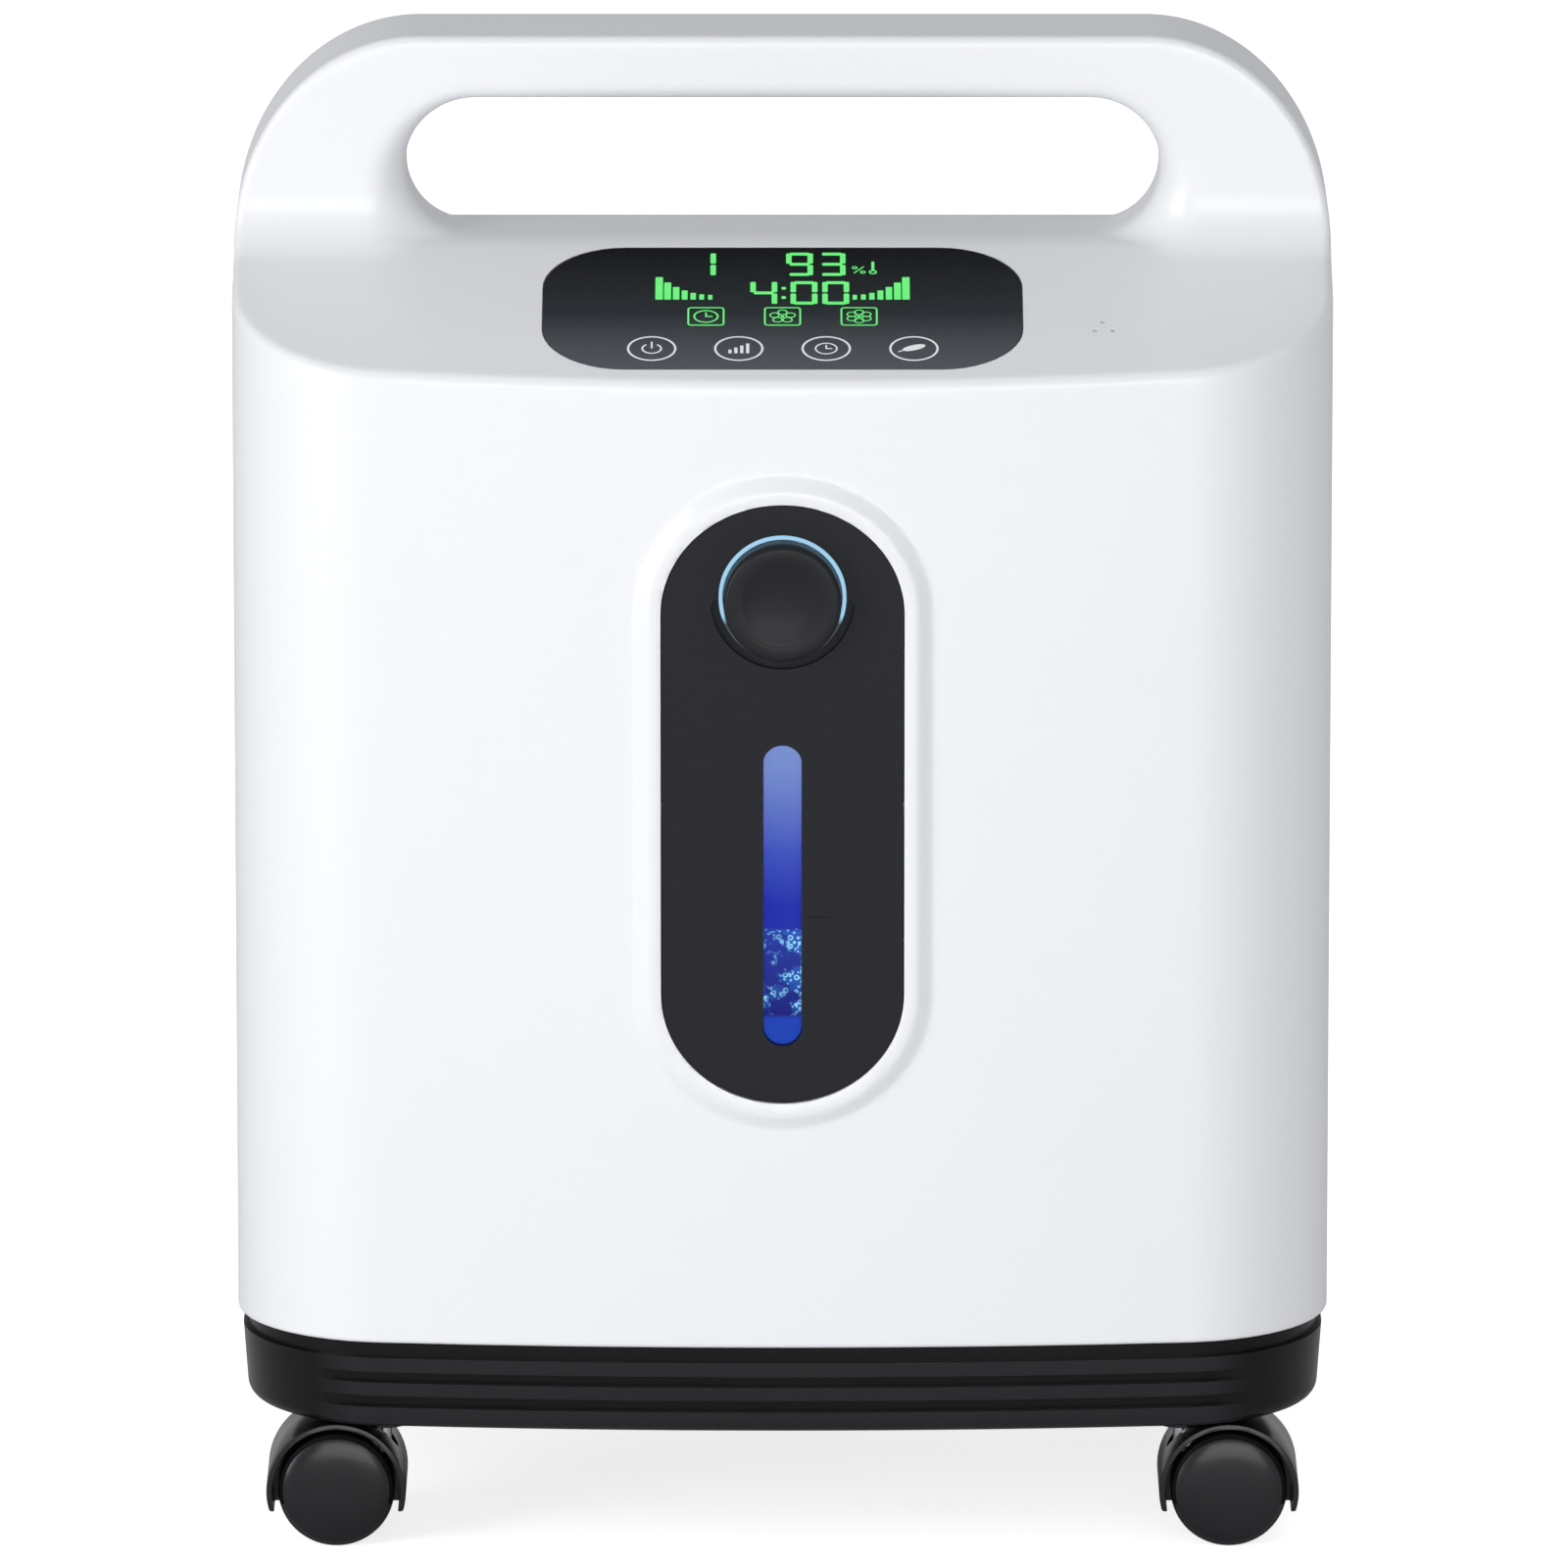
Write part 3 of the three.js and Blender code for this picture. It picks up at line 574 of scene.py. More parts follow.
def planPoints(inset, cornerSteps=14, bowSteps=13):
    cornerX, drop, reach = planCorner()
    turn = math.degrees(math.asin(cornerX / reach))
    frontMid, rearMid = shell["front"] + shell["bow"], shell["rear"] - shell["bow"]
    small, large = shell["corner"] - inset, shell["bow"] - inset
    frontCorner, rearCorner = frontMid - drop, rearMid + drop
    bowEnd = -90 + turn
    points = arcPoints((0, frontMid), large, -90 - turn, bowEnd, bowSteps)[:-1]
    points += arcPoints((cornerX, frontCorner), small, bowEnd, 0, cornerSteps)
    points += arcPoints((cornerX, rearCorner), small, 0, -bowEnd, cornerSteps)[:-1]
    points += arcPoints((0, rearMid), large, -bowEnd, 90 + turn, bowSteps)[:-1]
    points += arcPoints((-cornerX, rearCorner), small, 90 + turn, 180, cornerSteps)
    return points + arcPoints((-cornerX, frontCorner), small, 180, 270 - turn, cornerSteps)[:-1]


def roofPoints(inset, low):
    front, rear, ridge = shell["front"], shell["rear"], shell["ridge"] - inset
    rise = math.tan(shell["slope"])
    frontEdge = shell["deckFront"] - inset / math.cos(shell["slope"]) - rise
    rearEdge = frontEdge + rise * (-rear - front)
    ridgeFront = front + (ridge - frontEdge) / rise
    return [(front - 1, low), (rear + 1, low), (rear + 1, rearEdge), (-ridgeFront, ridge),
            (ridgeFront, ridge), (front - 1, frontEdge)]


def uprightStadium(radius, low, high, steps=24):
    # straight sides between a top and a bottom end, round or elliptical
    tall = radius[1] if isinstance(radius, tuple) else radius
    points = arcPoints((0, high - tall), radius, 0, 180, steps)
    return points + arcPoints((0, low + tall), radius, 180, 360, steps)


def ovalPoints(grow, steps=48):
    radius = (oval["half"] + grow, oval["end"] + grow)
    return uprightStadium(radius, oval["low"] - grow, oval["high"] + grow, steps)


def stadiumPoints(halfLength, radius, middle, steps=24):
    x = halfLength - radius
    points = arcPoints((x, middle), radius, -90, 90, steps)
    return points + arcPoints((-x, middle), radius, 90, 270, steps)


def slopeOf(points, field, reach=0.02):
    x, y, z = points.T
    steps = [field(x + dx, y + dy, z + dz) - field(x - dx, y - dy, z - dz)
             for dx, dy, dz in np.eye(3) * reach]
    return np.stack(steps, 1) / (2 * reach)


def readPoints(piece):
    points = np.zeros(len(piece.data.vertices) * 3)
    piece.data.vertices.foreach_get("co", points)
    return points.reshape(-1, 3)


def writePoints(piece, points):
    piece.data.vertices.foreach_set("co", points.ravel())
    piece.data.update()


def drawOnto(piece, field, steps=4):
    # each vertex slides along the slope until it lies on the surface
    points = readPoints(piece)
    for _ in range(steps):
        slope = slopeOf(points, field)
        size = np.maximum((slope ** 2).sum(1), 0.05)
        move = slope * (field(*points.T) / size)[:, None]
        length = np.maximum(np.linalg.norm(move, axis=1), 1e-9)
        points -= move * np.minimum(1, 3.0 / length)[:, None]
    writePoints(piece, points)


def relax(piece, field, rounds):
    for _ in range(rounds):
        openEdit(piece, "VERT")
        bpy.ops.mesh.vertices_smooth(factor=0.5, repeat=2)
        closeEdit()
        drawOnto(piece, field)


def refine(piece, field, bend):
    # edges that turn more than the given angle are halved and laid on the surface again
    points = readPoints(piece)
    slope = slopeOf(points, field)
    slope /= np.maximum(np.linalg.norm(slope, axis=1), 1e-9)[:, None]
    ends = np.zeros(len(piece.data.edges) * 2, int)
    piece.data.edges.foreach_get("vertices", ends)
    ends = ends.reshape(-1, 2)
    turning = (slope[ends[:, 0]] * slope[ends[:, 1]]).sum(1) < math.cos(math.radians(bend))
    openEdit(piece, "EDGE")
    bpy.ops.mesh.select_all(action="DESELECT")
    closeEdit()
    piece.data.edges.foreach_set("select", turning)
    bpy.ops.object.mode_set(mode="EDIT")
    bpy.ops.mesh.subdivide(number_cuts=1)
    closeEdit()
    drawOnto(piece, field)


def makeOuterSkin():
    low, high = shell["skirt"], shell["top"]
    skin = addOutline("shellBlank", planPoints(0), "z", low, high)
    wide, half = shell["halfWidth"], shell["handleHalf"]
    profile = roofPoints(0, low - 1)
    foot = shell["ridge"] + 2
    crown = [(half, foot), (half, high + 1), (-half, high + 1), (-half, foot)]
    side = addOutline("sideBlank", profile[:4] + crown + profile[4:], "x", -wide - 1, wide + 1)
    carve(skin, side, operation="INTERSECT")
    a, b = shell["shoulder"]
    front = [(-wide, low - 1), (wide, low - 1)]
    front += arcPoints((wide - a, high - b), (a, b), 0, 90, 16)
    front += arcPoints((a - wide, high - b), (a, b), 90, 180, 16)
    carve(skin, addOutline("frontBlank", front, "y", -150, 150), operation="INTERSECT")
    middle = shell["slotTop"] - shell["slotRadius"]
    slot = stadiumPoints(shell["slotHalf"], shell["slotRadius"], middle, 16)
    carve(skin, addOutline("slotBlank", slot, "y", -60, 60))
    applyStep(skin, "REMESH", mode="VOXEL", voxel_size=shell["voxel"])
    drawOnto(skin, shellGap, 8)
    relax(skin, shellGap, 3)
    for bend in (16, 12):
        refine(skin, shellGap, bend)
    return skin


def makeCavity():
    wall = shell["wall"]
    hollow = addOutline("cavity", planPoints(wall), "z", shell["skirt"] - 5, shell["top"])
    reach = shell["halfWidth"]
    roof = addOutline("cavityRoof", roofPoints(wall, shell["skirt"] - 6), "x", -reach, reach)
    return carve(hollow, roof, operation="INTERSECT")


def intakeOpening():
    low, high = boxOf("filter_cover")
    play, top = shell["play"], boxOf("side_grille")[1].z
    return addBox("intakeOpening", (low.x - 7, low.y - play, low.z - play),
                  (high.x + 5, high.y + play, top + play))


deck = {"along": 51.85, "width": 163.0, "length": 84.0, "corner": 28.0, "depth": 1.6}


def deckMatrix(along, x=0.0):
    y = shell["front"] + along * math.cos(shell["slope"])
    z = shell["deckFront"] + along * math.sin(shell["slope"])
    return Matrix.Translation((x, y, z)) @ Matrix.Rotation(shell["slope"], 4, "X")


def roundedPoints(width, length, corner, steps=12):
    x, y = width / 2 - corner, length / 2 - corner
    points = []
    for turn, centre in ((0, (x, y)), (90, (-x, y)), (180, (-x, -y)), (270, (x, -y))):
        points += arcPoints(centre, corner, turn, turn + 90, steps)
    return points


def deckPrism(name, grow, low, high):
    points = roundedPoints(deck["width"] + 2 * grow, deck["length"] + 2 * grow, deck["corner"] + grow)
    prism = addOutline(name, points, "z", low, high)
    prism.data.transform(deckMatrix(deck["along"]))
    return prism


def keepBetween(piece, low, high):
    # what lies between two depths stays
    slab = addBox("slab", (-shell["cutX"], low, 0), (shell["cutX"], high, shell["cutZ"]))
    carve(piece, slab, operation="INTERSECT")


def seamBead(skin):
    # a thin web in the seam, a little under the surface, keeps light from passing between the shells
    bead = duplicate(skin, "seamBead")
    points = readPoints(bead)
    slope = slopeOf(points, shellGap)
    slope /= np.maximum(np.linalg.norm(slope, axis=1), 1e-9)[:, None]
    writePoints(bead, points - slope * shell["beadDepth"])
    keepBetween(bead, -shell["beadHalf"], shell["beadHalf"])
    return carve(bead, makeCavity(), intakeOpening())


def makeShells():
    skin = makeOuterSkin()
    report(f"outer skin, {len(skin.data.vertices)} vertices")
    bead = seamBead(skin)
    carve(skin, makeCavity(), intakeOpening())
    rear = duplicate(skin, "rearShell")
    skin.name = "frontShell"
    keepBetween(skin, -shell["cutY"], -shell["parting"])
    keepBetween(rear, shell["parting"], shell["cutY"])
    play, insetPlay = shell["play"], shell["insetPlay"]
    depth = shell["front"] + shell["ovalDepth"]
    carve(skin, addOutline("ovalOpening", ovalPoints(insetPlay), "y", -140, depth))
    carve(skin, deckPrism("displayRecess", insetPlay, -deck["depth"] - play, 6))
    for x, along in shell["holes"]:
        hole = addRod("soundHole", shell["holeRadius"], "z", -8, 6, (0, 0), 16)
        hole.data.transform(deckMatrix(along, x))
        carve(skin, hole)
    for node, inward, outward in (("exhaust_grille", 4, 3), ("mains_inlet", 0, 6)):
        low, high = boxOf(node)
        carve(rear, addBox("rearOpening", (low.x - play, low.y - inward, low.z - play),
                           (high.x + play, high.y + outward, high.z + play)))
    finishPiece(skin, "housing", whiteShell, ["front_shell"], 40)
    rear = joinAll([rear, bead], "rearShell")
    finishPiece(rear, "housing", whiteShell, ["rear_shell"], 40)


makeShells()
report("white shells")

# the black plastics and the grille's

trayBlack = plastic("ribbedBlackPlastic", (0.008, 0.008, 0.0095), (0.011, 0.011, 0.013), 0.28,
                    shine=0.22)
fasciaBlack = plastic("satinBlackPlastic", (0.0125, 0.013, 0.017), (0.0155, 0.016, 0.020), 0.42,
                      shine=0.16)
capBlack = plastic("knobBlackPlastic", (0.010, 0.0105, 0.013), (0.014, 0.0145, 0.017), 0.36,
                   shine=0.2)
casterBlack = plastic("glossyCasterPlastic", (0.006, 0.006, 0.0075), (0.010, 0.010, 0.012), 0.24,
                      shine=0.34, coat=0.12)
grilleWhite = plastic("grillePlastic", (0.70, 0.71, 0.73), (0.76, 0.77, 0.79), 0.42)


# base tray

tray = {"inset": 1.8, "low": 46.0, "high": 76.7, "floor": 3.5, "wall": 3.0, "reveal": 71.4,
        "grooves": ((53.6, 57.7), (62.5, 66.3)), "depth": 1.9, "fade": (147.0, 161.0), "soft": 0.5,
        "taper": 1.6, "taperDepth": 1.5, "middleY": 5, "bottomRoll": 5.0,
        "boss": 9.0, "bore": 5.2, "bossTop": 71.0}
stemX = 137.3
stemSpots = [(side * stemX, y) for side in (-1, 1) for y in (-75.0, 85.0)]


def trayPoints(inset):
    return planPoints(inset, 40, 41)


def ribCutter(low, high):
    # a groove along the front that runs out before the corners
    start, end = tray["fade"]
    outer, inner = trayPoints(tray["inset"] - 0.5), trayPoints(tray["inset"] + tray["depth"])
    points = []
    for a, b in zip(outer, inner):
        keep = float(smoothStep(end, start, abs(b[0])))
        points.append((a[0] + (b[0] - a[0]) * keep, a[1] + (b[1] - a[1]) * keep))
    front = sorted(p for p in points if p[1] < -60 and abs(p[0]) < end + 8)
    edge = front[-1][0]
    return addOutline("grooveCutter", front + [(edge, -150), (front[0][0], -150)], "z", low, high)


def trayFinish():
    # the front ribs are painted lighter, a painted highlight, and the grooves between them, the reveal
    # and the plain corners are painted near black, as painted shade
    made = Finish("ribbedTrayPlastic", Specular_IOR_Level=0.18)
    height, across, along = (made.axis(name) for name in "ZXY")
    start, end = tray["fade"]
    front = (1.0 - across.math("ABSOLUTE", across).step(start / metre, end / metre)) * (
        1.0 - along.step(-0.08, -0.07))
    # bands of painted shade: the two grooves and the reveal under the white shell
    grooveShade = 0.0
    for low, high in (*tray["grooves"], (tray["reveal"], tray["high"] + 1)):
        grooveShade = grooveShade + height.step((low - 0.2) / metre, (low + 0.3) / metre) * (
            1.0 - height.step((high - 0.3) / metre, (high + 0.2) / metre))
    drift = made.noise(9.0, 3.0)
    # painted light: the ribs get a lighter copy of the black plastic's colour
    litRibs = made.mix(drift, (0.014, 0.0145, 0.0165), (0.018, 0.0185, 0.021))
    made.feed("Base Color", made.mix(front * (1.0 - grooveShade.clamp()), (0.0035, 0.0036, 0.004), litRibs))
    fine = made.noise(2200.0)
    made.feed("Roughness", 0.3 + (drift - 0.5) * 0.05 + (fine - 0.5) * 0.03)
    made.bump(fine, 0.00002)
    return made.material


def makeTray():
    body = addOutline("baseTray", trayPoints(tray["inset"]), "z", tray["low"], tray["high"])
    ring = addOutline("revealRing", trayPoints(-6), "z", tray["reveal"], tray["high"] + 5)
    carve(ring, addOutline("revealCore", trayPoints(tray["inset"] + tray["depth"]), "z", 60, 90))
    carve(body, ring)
    for low, high in tray["grooves"]:
        carve(body, ribCutter(low, high))
    roundEdges(body, tray["soft"], 2, 30, lambda p: tray["low"] + 4 < p.z < tray["high"] - 2)
    roundEdges(body, tray["bottomRoll"], 6, 30, lambda p: p.z < tray["low"] + 0.1)
    for vertex in body.data.vertices:
        keep = 1 - tray["taper"] / shell["halfWidth"] * float(
            smoothStep(tray["reveal"], tray["low"], vertex.co.z))
        vertex.co.x *= keep
        drawIn = 1 - (1 - keep) * tray["taperDepth"]
        vertex.co.y = (vertex.co.y - tray["middleY"]) * drawIn + tray["middleY"]
    hollow = trayPoints(tray["inset"] + tray["depth"] + tray["wall"])
    carve(body, addOutline("trayHollow", hollow, "z", tray["low"] + tray["floor"], 90))
    for spot in stemSpots:
        weld(body, addRod("stemBoss", tray["boss"], "z", tray["low"] + 1, tray["bossTop"], spot))
        carve(body, addRod("stemBore", tray["bore"], "z", 40, 80, spot))
    finishPiece(body, "housing", trayFinish(), ["base_tray"], 40, even=True)


makeTray()
report("base tray")


# fascia with its finger pocket, light ring and outlet cap

outlet = {"z": 339.6, "ringIn": 20.4, "ringOut": 21.6, "ringBevel": 0.3, "cap": 20.0,
          "face": -128.5, "back": -119.5, "crown": 1.0, "rim": 1.8, "dish": 15.0, "dishDepth": 1.9,
          "pocket": 24.5, "pocketDepth": 2.2, "pocketCorner": 3.0}
fascia = {"face": -119.3, "back": -115.3, "edge": 0.55, "tick": ((8.3, 228.7), (16.3, 229.3)),
          "tickDepth": 0.3, "cutFrom": -125, "cutTo": -110}
sight = {"half": 6.4, "low": 184.0, "high": 288.3, "face": -117.3, "back": -115.3, "play": 0.3}


def pocketPoints():
    # the lower half of a disk, its upper corners rounded
    r, c, z = outlet["pocket"], outlet["pocketCorner"], outlet["z"]
    turn = math.degrees(math.asin(c / (r - c)))
    across = (r - c) * math.cos(math.radians(turn))
    points = arcPoints((0, z), r, 180 + turn, 360 - turn, 40)
    points += arcPoints((across, z - c), c, -turn, 90, 8)[1:]
    return points + arcPoints((-across, z - c), c, 90, 180 + turn, 8)[:-1]


def makeFascia():
    plate = addOutline("frontFascia", ovalPoints(-0.1, 64), "y", fascia["face"], fascia["back"])
    start, end = fascia["cutFrom"], fascia["cutTo"]
    pocketFloor = fascia["face"] + outlet["pocketDepth"]
    carve(plate, addOutline("pocketCutter", pocketPoints(), "y", start, pocketFloor))
    carve(plate, addRod("ringBore", outlet["ringOut"] + 0.3, "y", start, end, (0, outlet["z"]), 96))
    window = uprightStadium(sight["half"] + sight["play"], sight["low"] - sight["play"],
                            sight["high"] + sight["play"])
    carve(plate, addOutline("windowCutter", window, "y", start, end))
    roundEdges(plate, fascia["edge"], 3, 50, lambda p: p.y < fascia["face"] + 0.1)
    (left, low), (right, high) = fascia["tick"]
    carve(plate, addBox("levelTick", (left, start, low),
                        (right, fascia["face"] + fascia["tickDepth"], high)))
    finishPiece(plate, "housing", fasciaBlack, ["front_fascia"], 30, even=True)


def makeRing():
    inner, outer, face, back = outlet["ringIn"], outlet["ringOut"], fascia["face"], fascia["back"]
    bevel = outlet["ringBevel"]
    profile = [(inner, back), (outer, back), (outer, face + bevel), (outer - bevel, face),
               (inner + bevel, face), (inner, face + bevel)]
    glow = Finish("lightRingGlow", Base_Color=(0.05, 0.07, 0.09), Roughness=0.35, Emission_Strength=1.0)
    # painted shade: below a line 6 to 9 mm under the outlet's centre the ring is dark, in the shade of
    # the pocket under the cap; above it the ring glows
    lit = glow.axis("Z").step((outlet["z"] - 9) / metre, (outlet["z"] - 6) / metre)
    glow.feed("Emission Color", glow.mix(lit, (0.006, 0.010, 0.014), glow.mix(
        glow.noise(60.0), (0.25, 0.52, 0.72), (0.36, 0.64, 0.82))))
    piece = addSpin("outletLightRing", profile, "y", (0, 0, outlet["z"]), 96)
    finishPiece(piece, "housing", glow.material, ["outlet_light_ring"], 50)


def makeCap():
    r, face, back = outlet["cap"], outlet["face"], outlet["back"]
    dish, deep = outlet["dish"], outlet["dishDepth"]
    hollow = [(dish * t, face + deep * (1 - t ** 2.4)) for t in np.linspace(0, 1, 10)]
    soft, roll = outlet["crown"], outlet["rim"]
    crown = arcPoints((dish + soft, face + soft), soft, -115, -90, 3)
    rim = arcPoints((r - roll, face + roll), roll, -90, 0, 7)
    profile = hollow + crown + rim + [(r, back - 0.5), (r - 0.5, back), (0, back)]
    piece = addSpin("outletCap", profile, "y", (0, 0, outlet["z"]), 96)
    finishPiece(piece, "outlet_cap", capBlack, ["outlet_cap"], 40)


makeFascia()
makeRing()
makeCap()
report("fascia and outlet")


# sight window, with the water seen behind it

def makeWindow():
    pane = addOutline("sightWindow", uprightStadium(sight["half"], sight["low"], sight["high"]),
                      "y", sight["face"], sight["back"])
    roundEdges(pane, 0.5, 2, 50, lambda p: p.y < sight["face"] + 0.1)
    # the pane glows: the water behind it, with its light and shade, is painted as emitted colour that
    # changes with height
    blue = Finish("blueSightWindow", Base_Color=(0.004, 0.005, 0.012), Roughness=0.3,
                  Emission_Strength=1.0)
    height = blue.axis("Z")
    share = height.step(0.184, 0.288)  # places on the window are heights in metres
    depth = blue.ramp(share, [
        (0.0, (0.012, 0.054, 0.440)), (0.085, (0.012, 0.054, 0.440)), (0.10, (0.010, 0.013, 0.188)),
        (0.37, (0.020, 0.040, 0.342)), (0.40, (0.012, 0.024, 0.385)), (0.47, (0.012, 0.025, 0.395)),
        (0.64, (0.042, 0.075, 0.490)), (0.91, (0.160, 0.240, 0.590)), (1.0, (0.178, 0.270, 0.617))])
    # painted highlights on the bubbles: a bright rim and a bright centre in each cell
    bubbleGlints = 0.0
    for size, cover in ((380.0, 0.40), (700.0, 0.34)):
        cells = blue.cells(size)
        wall = 1.0 - cells.step(cover - 0.06, cover)
        bubbleGlints = bubbleGlints + cells.step(cover - 0.26, cover - 0.12) * wall
        bubbleGlints = bubbleGlints + (1.0 - cells.step(0.05, 0.11)) * 1.2
    near = height.step(0.1935, 0.1975) * (1.0 - height.step(0.2232, 0.2246))
    patch = blue.noise(150.0, 2.0).step(0.42, 0.54)
    top = height.step(0.2185, 0.2225)
    bubbleHighlights = (bubbleGlints * near * (patch + top * 0.5).clamp()).clamp()
    # a painted glow round the bubble patches
    bubbleGlow = near * patch * 0.22
    glowing = blue.mix(bubbleGlow, depth, (0.04, 0.32, 0.95))
    blue.feed("Emission Color", blue.mix(bubbleHighlights, glowing, (0.30, 0.72, 1.0)))
    blue.feed("Specular IOR Level", 0.06)
    finishPiece(pane, "housing", blue.material, ["sight_window"], 40)


makeWindow()
report("sight window")


# display panel and its lit digits, icons and touch keys

ink = {"thick": 0.05, "digit": (9.2, 16.0), "stroke": 1.9, "rows": (82.0, 62.2, 46.0),
       "keys": (-44.3, -14.8, 14.8, 44.5), "keyRow": 24.0, "keyRadius": 8.0, "keyLine": 0.75}


def inkPlate(points):
    plate = addOutline("inkPlate", points, "z", 0.0, ink["thick"])
    plate.data.transform(deckMatrix(0))
    return plate


def inkBar(x, y, width, height, corner=0.35):
    corner = min(corner, width / 2.01, height / 2.01)
    return inkPlate([(a + x, b + y) for a, b in roundedPoints(width, height, corner, 4)])


def inkStroke(start, end, width):
    # a straight stroke with round ends
    a, b = Vector(start), Vector(end)
    turn = math.degrees(math.atan2(b.y - a.y, b.x - a.x))
    points = arcPoints(b, width / 2, turn - 90, turn + 90, 6)
    return inkPlate(points + arcPoints(a, width / 2, turn + 90, turn + 270, 6))


def inkArc(centre, radius, width, start, end, steps=28):
    outer = arcPoints(centre, radius + width / 2, start, end, steps)
    return inkPlate(outer + arcPoints(centre, radius - width / 2, end, start, steps))


def inkRing(centre, radius, width):
    return [inkArc(centre, radius, width, 0, 180), inkArc(centre, radius, width, 180, 360)]


def inkDigit(number, x, y):
    # seven bars: top, upper left and right, middle, lower left and right, bottom
    lit = {0: "1110111", 1: "0010010", 3: "1011011", 4: "0111010", 9: "1111011"}[number]
    (width, height), stroke = ink["digit"], ink["stroke"]
    across, up = width - stroke - 0.5, height / 2 - stroke - 0.2
    spots = [(0, height / 2 - stroke / 2, 1), (-1, height / 4, 0), (1, height / 4, 0), (0, 0, 1),
             (-1, -height / 4, 0), (1, -height / 4, 0), (0, stroke / 2 - height / 2, 1)]
    bars = []
    for on, (side, b, flat) in zip(lit, spots):
        if on == "1":
            size = (across, stroke) if flat else (stroke, up + stroke * 0.6)
            bars.append(inkBar(x + side * (width - stroke) / 2, y + b, *size, 0.6))
    return bars


def inkClock(centre, radius, width):
    x, y = centre
    ends = ((x, y + radius * 0.62), (x + radius * 0.5, y))
    hands = [inkStroke((x, y), end, width) for end in ends]
    return inkRing(centre, radius, width) + hands


def inkFlower(centre, radius, width, petals):
    x, y = centre
    marks = []
    for step in range(petals):
        turn = math.radians(90 + 360 * step / petals)
        spot = (x + radius * 0.62 * math.cos(turn), y + radius * 0.62 * math.sin(turn))
        marks += inkRing(spot, radius * 0.34, width)
    return marks + [inkBar(x, y, radius * 0.3, radius * 0.3, radius * 0.14)]


def inkFrame(centre, size, width):
    x, y = centre
    side = size - 3
    bars = [inkBar(x, y + way * (size - width) / 2, side, width, 0.1) for way in (-1, 1)]
    bars += [inkBar(x + way * (size - width) / 2, y, width, side, 0.1) for way in (-1, 1)]
    for turn, a, b in ((0, 1, 1), (90, -1, 1), (180, -1, -1), (270, 1, -1)):
        corner = (x + a * side / 2, y + b * side / 2)
        bars.append(inkArc(corner, 1.5 - width / 2, width, turn, turn + 90, 8))
    return bars


def litMarks():
    upper, lower, icons = ink["rows"]
    marks = inkDigit(1, -27.3, upper) + inkDigit(9, 5.8, upper) + inkDigit(3, 16.9, upper)
    marks += inkRing((24.6, 79.6), 0.75, 0.45) + inkRing((27.4, 76.6), 0.75, 0.45)
    marks += [inkStroke((24.4, 76.0), (27.6, 80.2), 0.45), inkStroke((30.8, 78.0), (30.8, 83.4), 1.0)]
    marks += inkRing((30.8, 76.6), 1.1, 0.6)
    marks += inkDigit(4, -6.4, lower) + inkDigit(0, 7.3, lower) + inkDigit(0, 18.1, lower)
    marks += [inkBar(0.4, lower + way * 3.2, 1.6, 1.9, 0.7) for way in (-1, 1)]
    for step in range(7):
        tall = 3.2 + 0.34 * step * step
        wide = 1.5 + 0.18 * step
        out = 24.6 + 2.9 * step
        marks += [inkBar(way * out, 57.6 + tall / 2, wide, tall, 0.3) for way in (-1, 1)]
    for x in (-26.0, 0.0, 26.0):
        marks += inkFrame((x, icons), 12.6, 0.6)
    marks += inkClock((-26.0, icons), 4.0, 0.6)
    return marks + inkFlower((0.0, icons), 4.6, 0.45, 5) + inkFlower((26.0, icons), 4.6, 0.45, 6)


def keyMarks():
    places = [(x, ink["keyRow"]) for x in ink["keys"]]
    marks = [arc for place in places for arc in inkRing(place, ink["keyRadius"], ink["keyLine"])]
    power, bars, clock, leaf = places
    marks += [inkArc(power, 3.2, 0.6, 125, 415), inkStroke((power[0], 24.4), (power[0], 28.4), 0.6)]
    for step in range(4):
        marks.append(inkBar(bars[0] - 3 + 2 * step, 22 + step * 0.7, 1.1, 2.4 + 1.4 * step, 0.2))
    marks += inkClock(clock, 3.6, 0.55)
    tilt = Matrix.Rotation(math.radians(24), 2)
    blade = [tilt @ Vector(point) for point in arcPoints((0, 0), (4.2, 1.7), 0, 360, 33)[:-1]]
    marks.append(inkPlate([(leaf[0] + a, leaf[1] + 0.6 + b) for a, b in blade]))
    return marks + [inkStroke((leaf[0] - 5.2, 21.8), (leaf[0] - 3.4, 23.0), 0.5)]


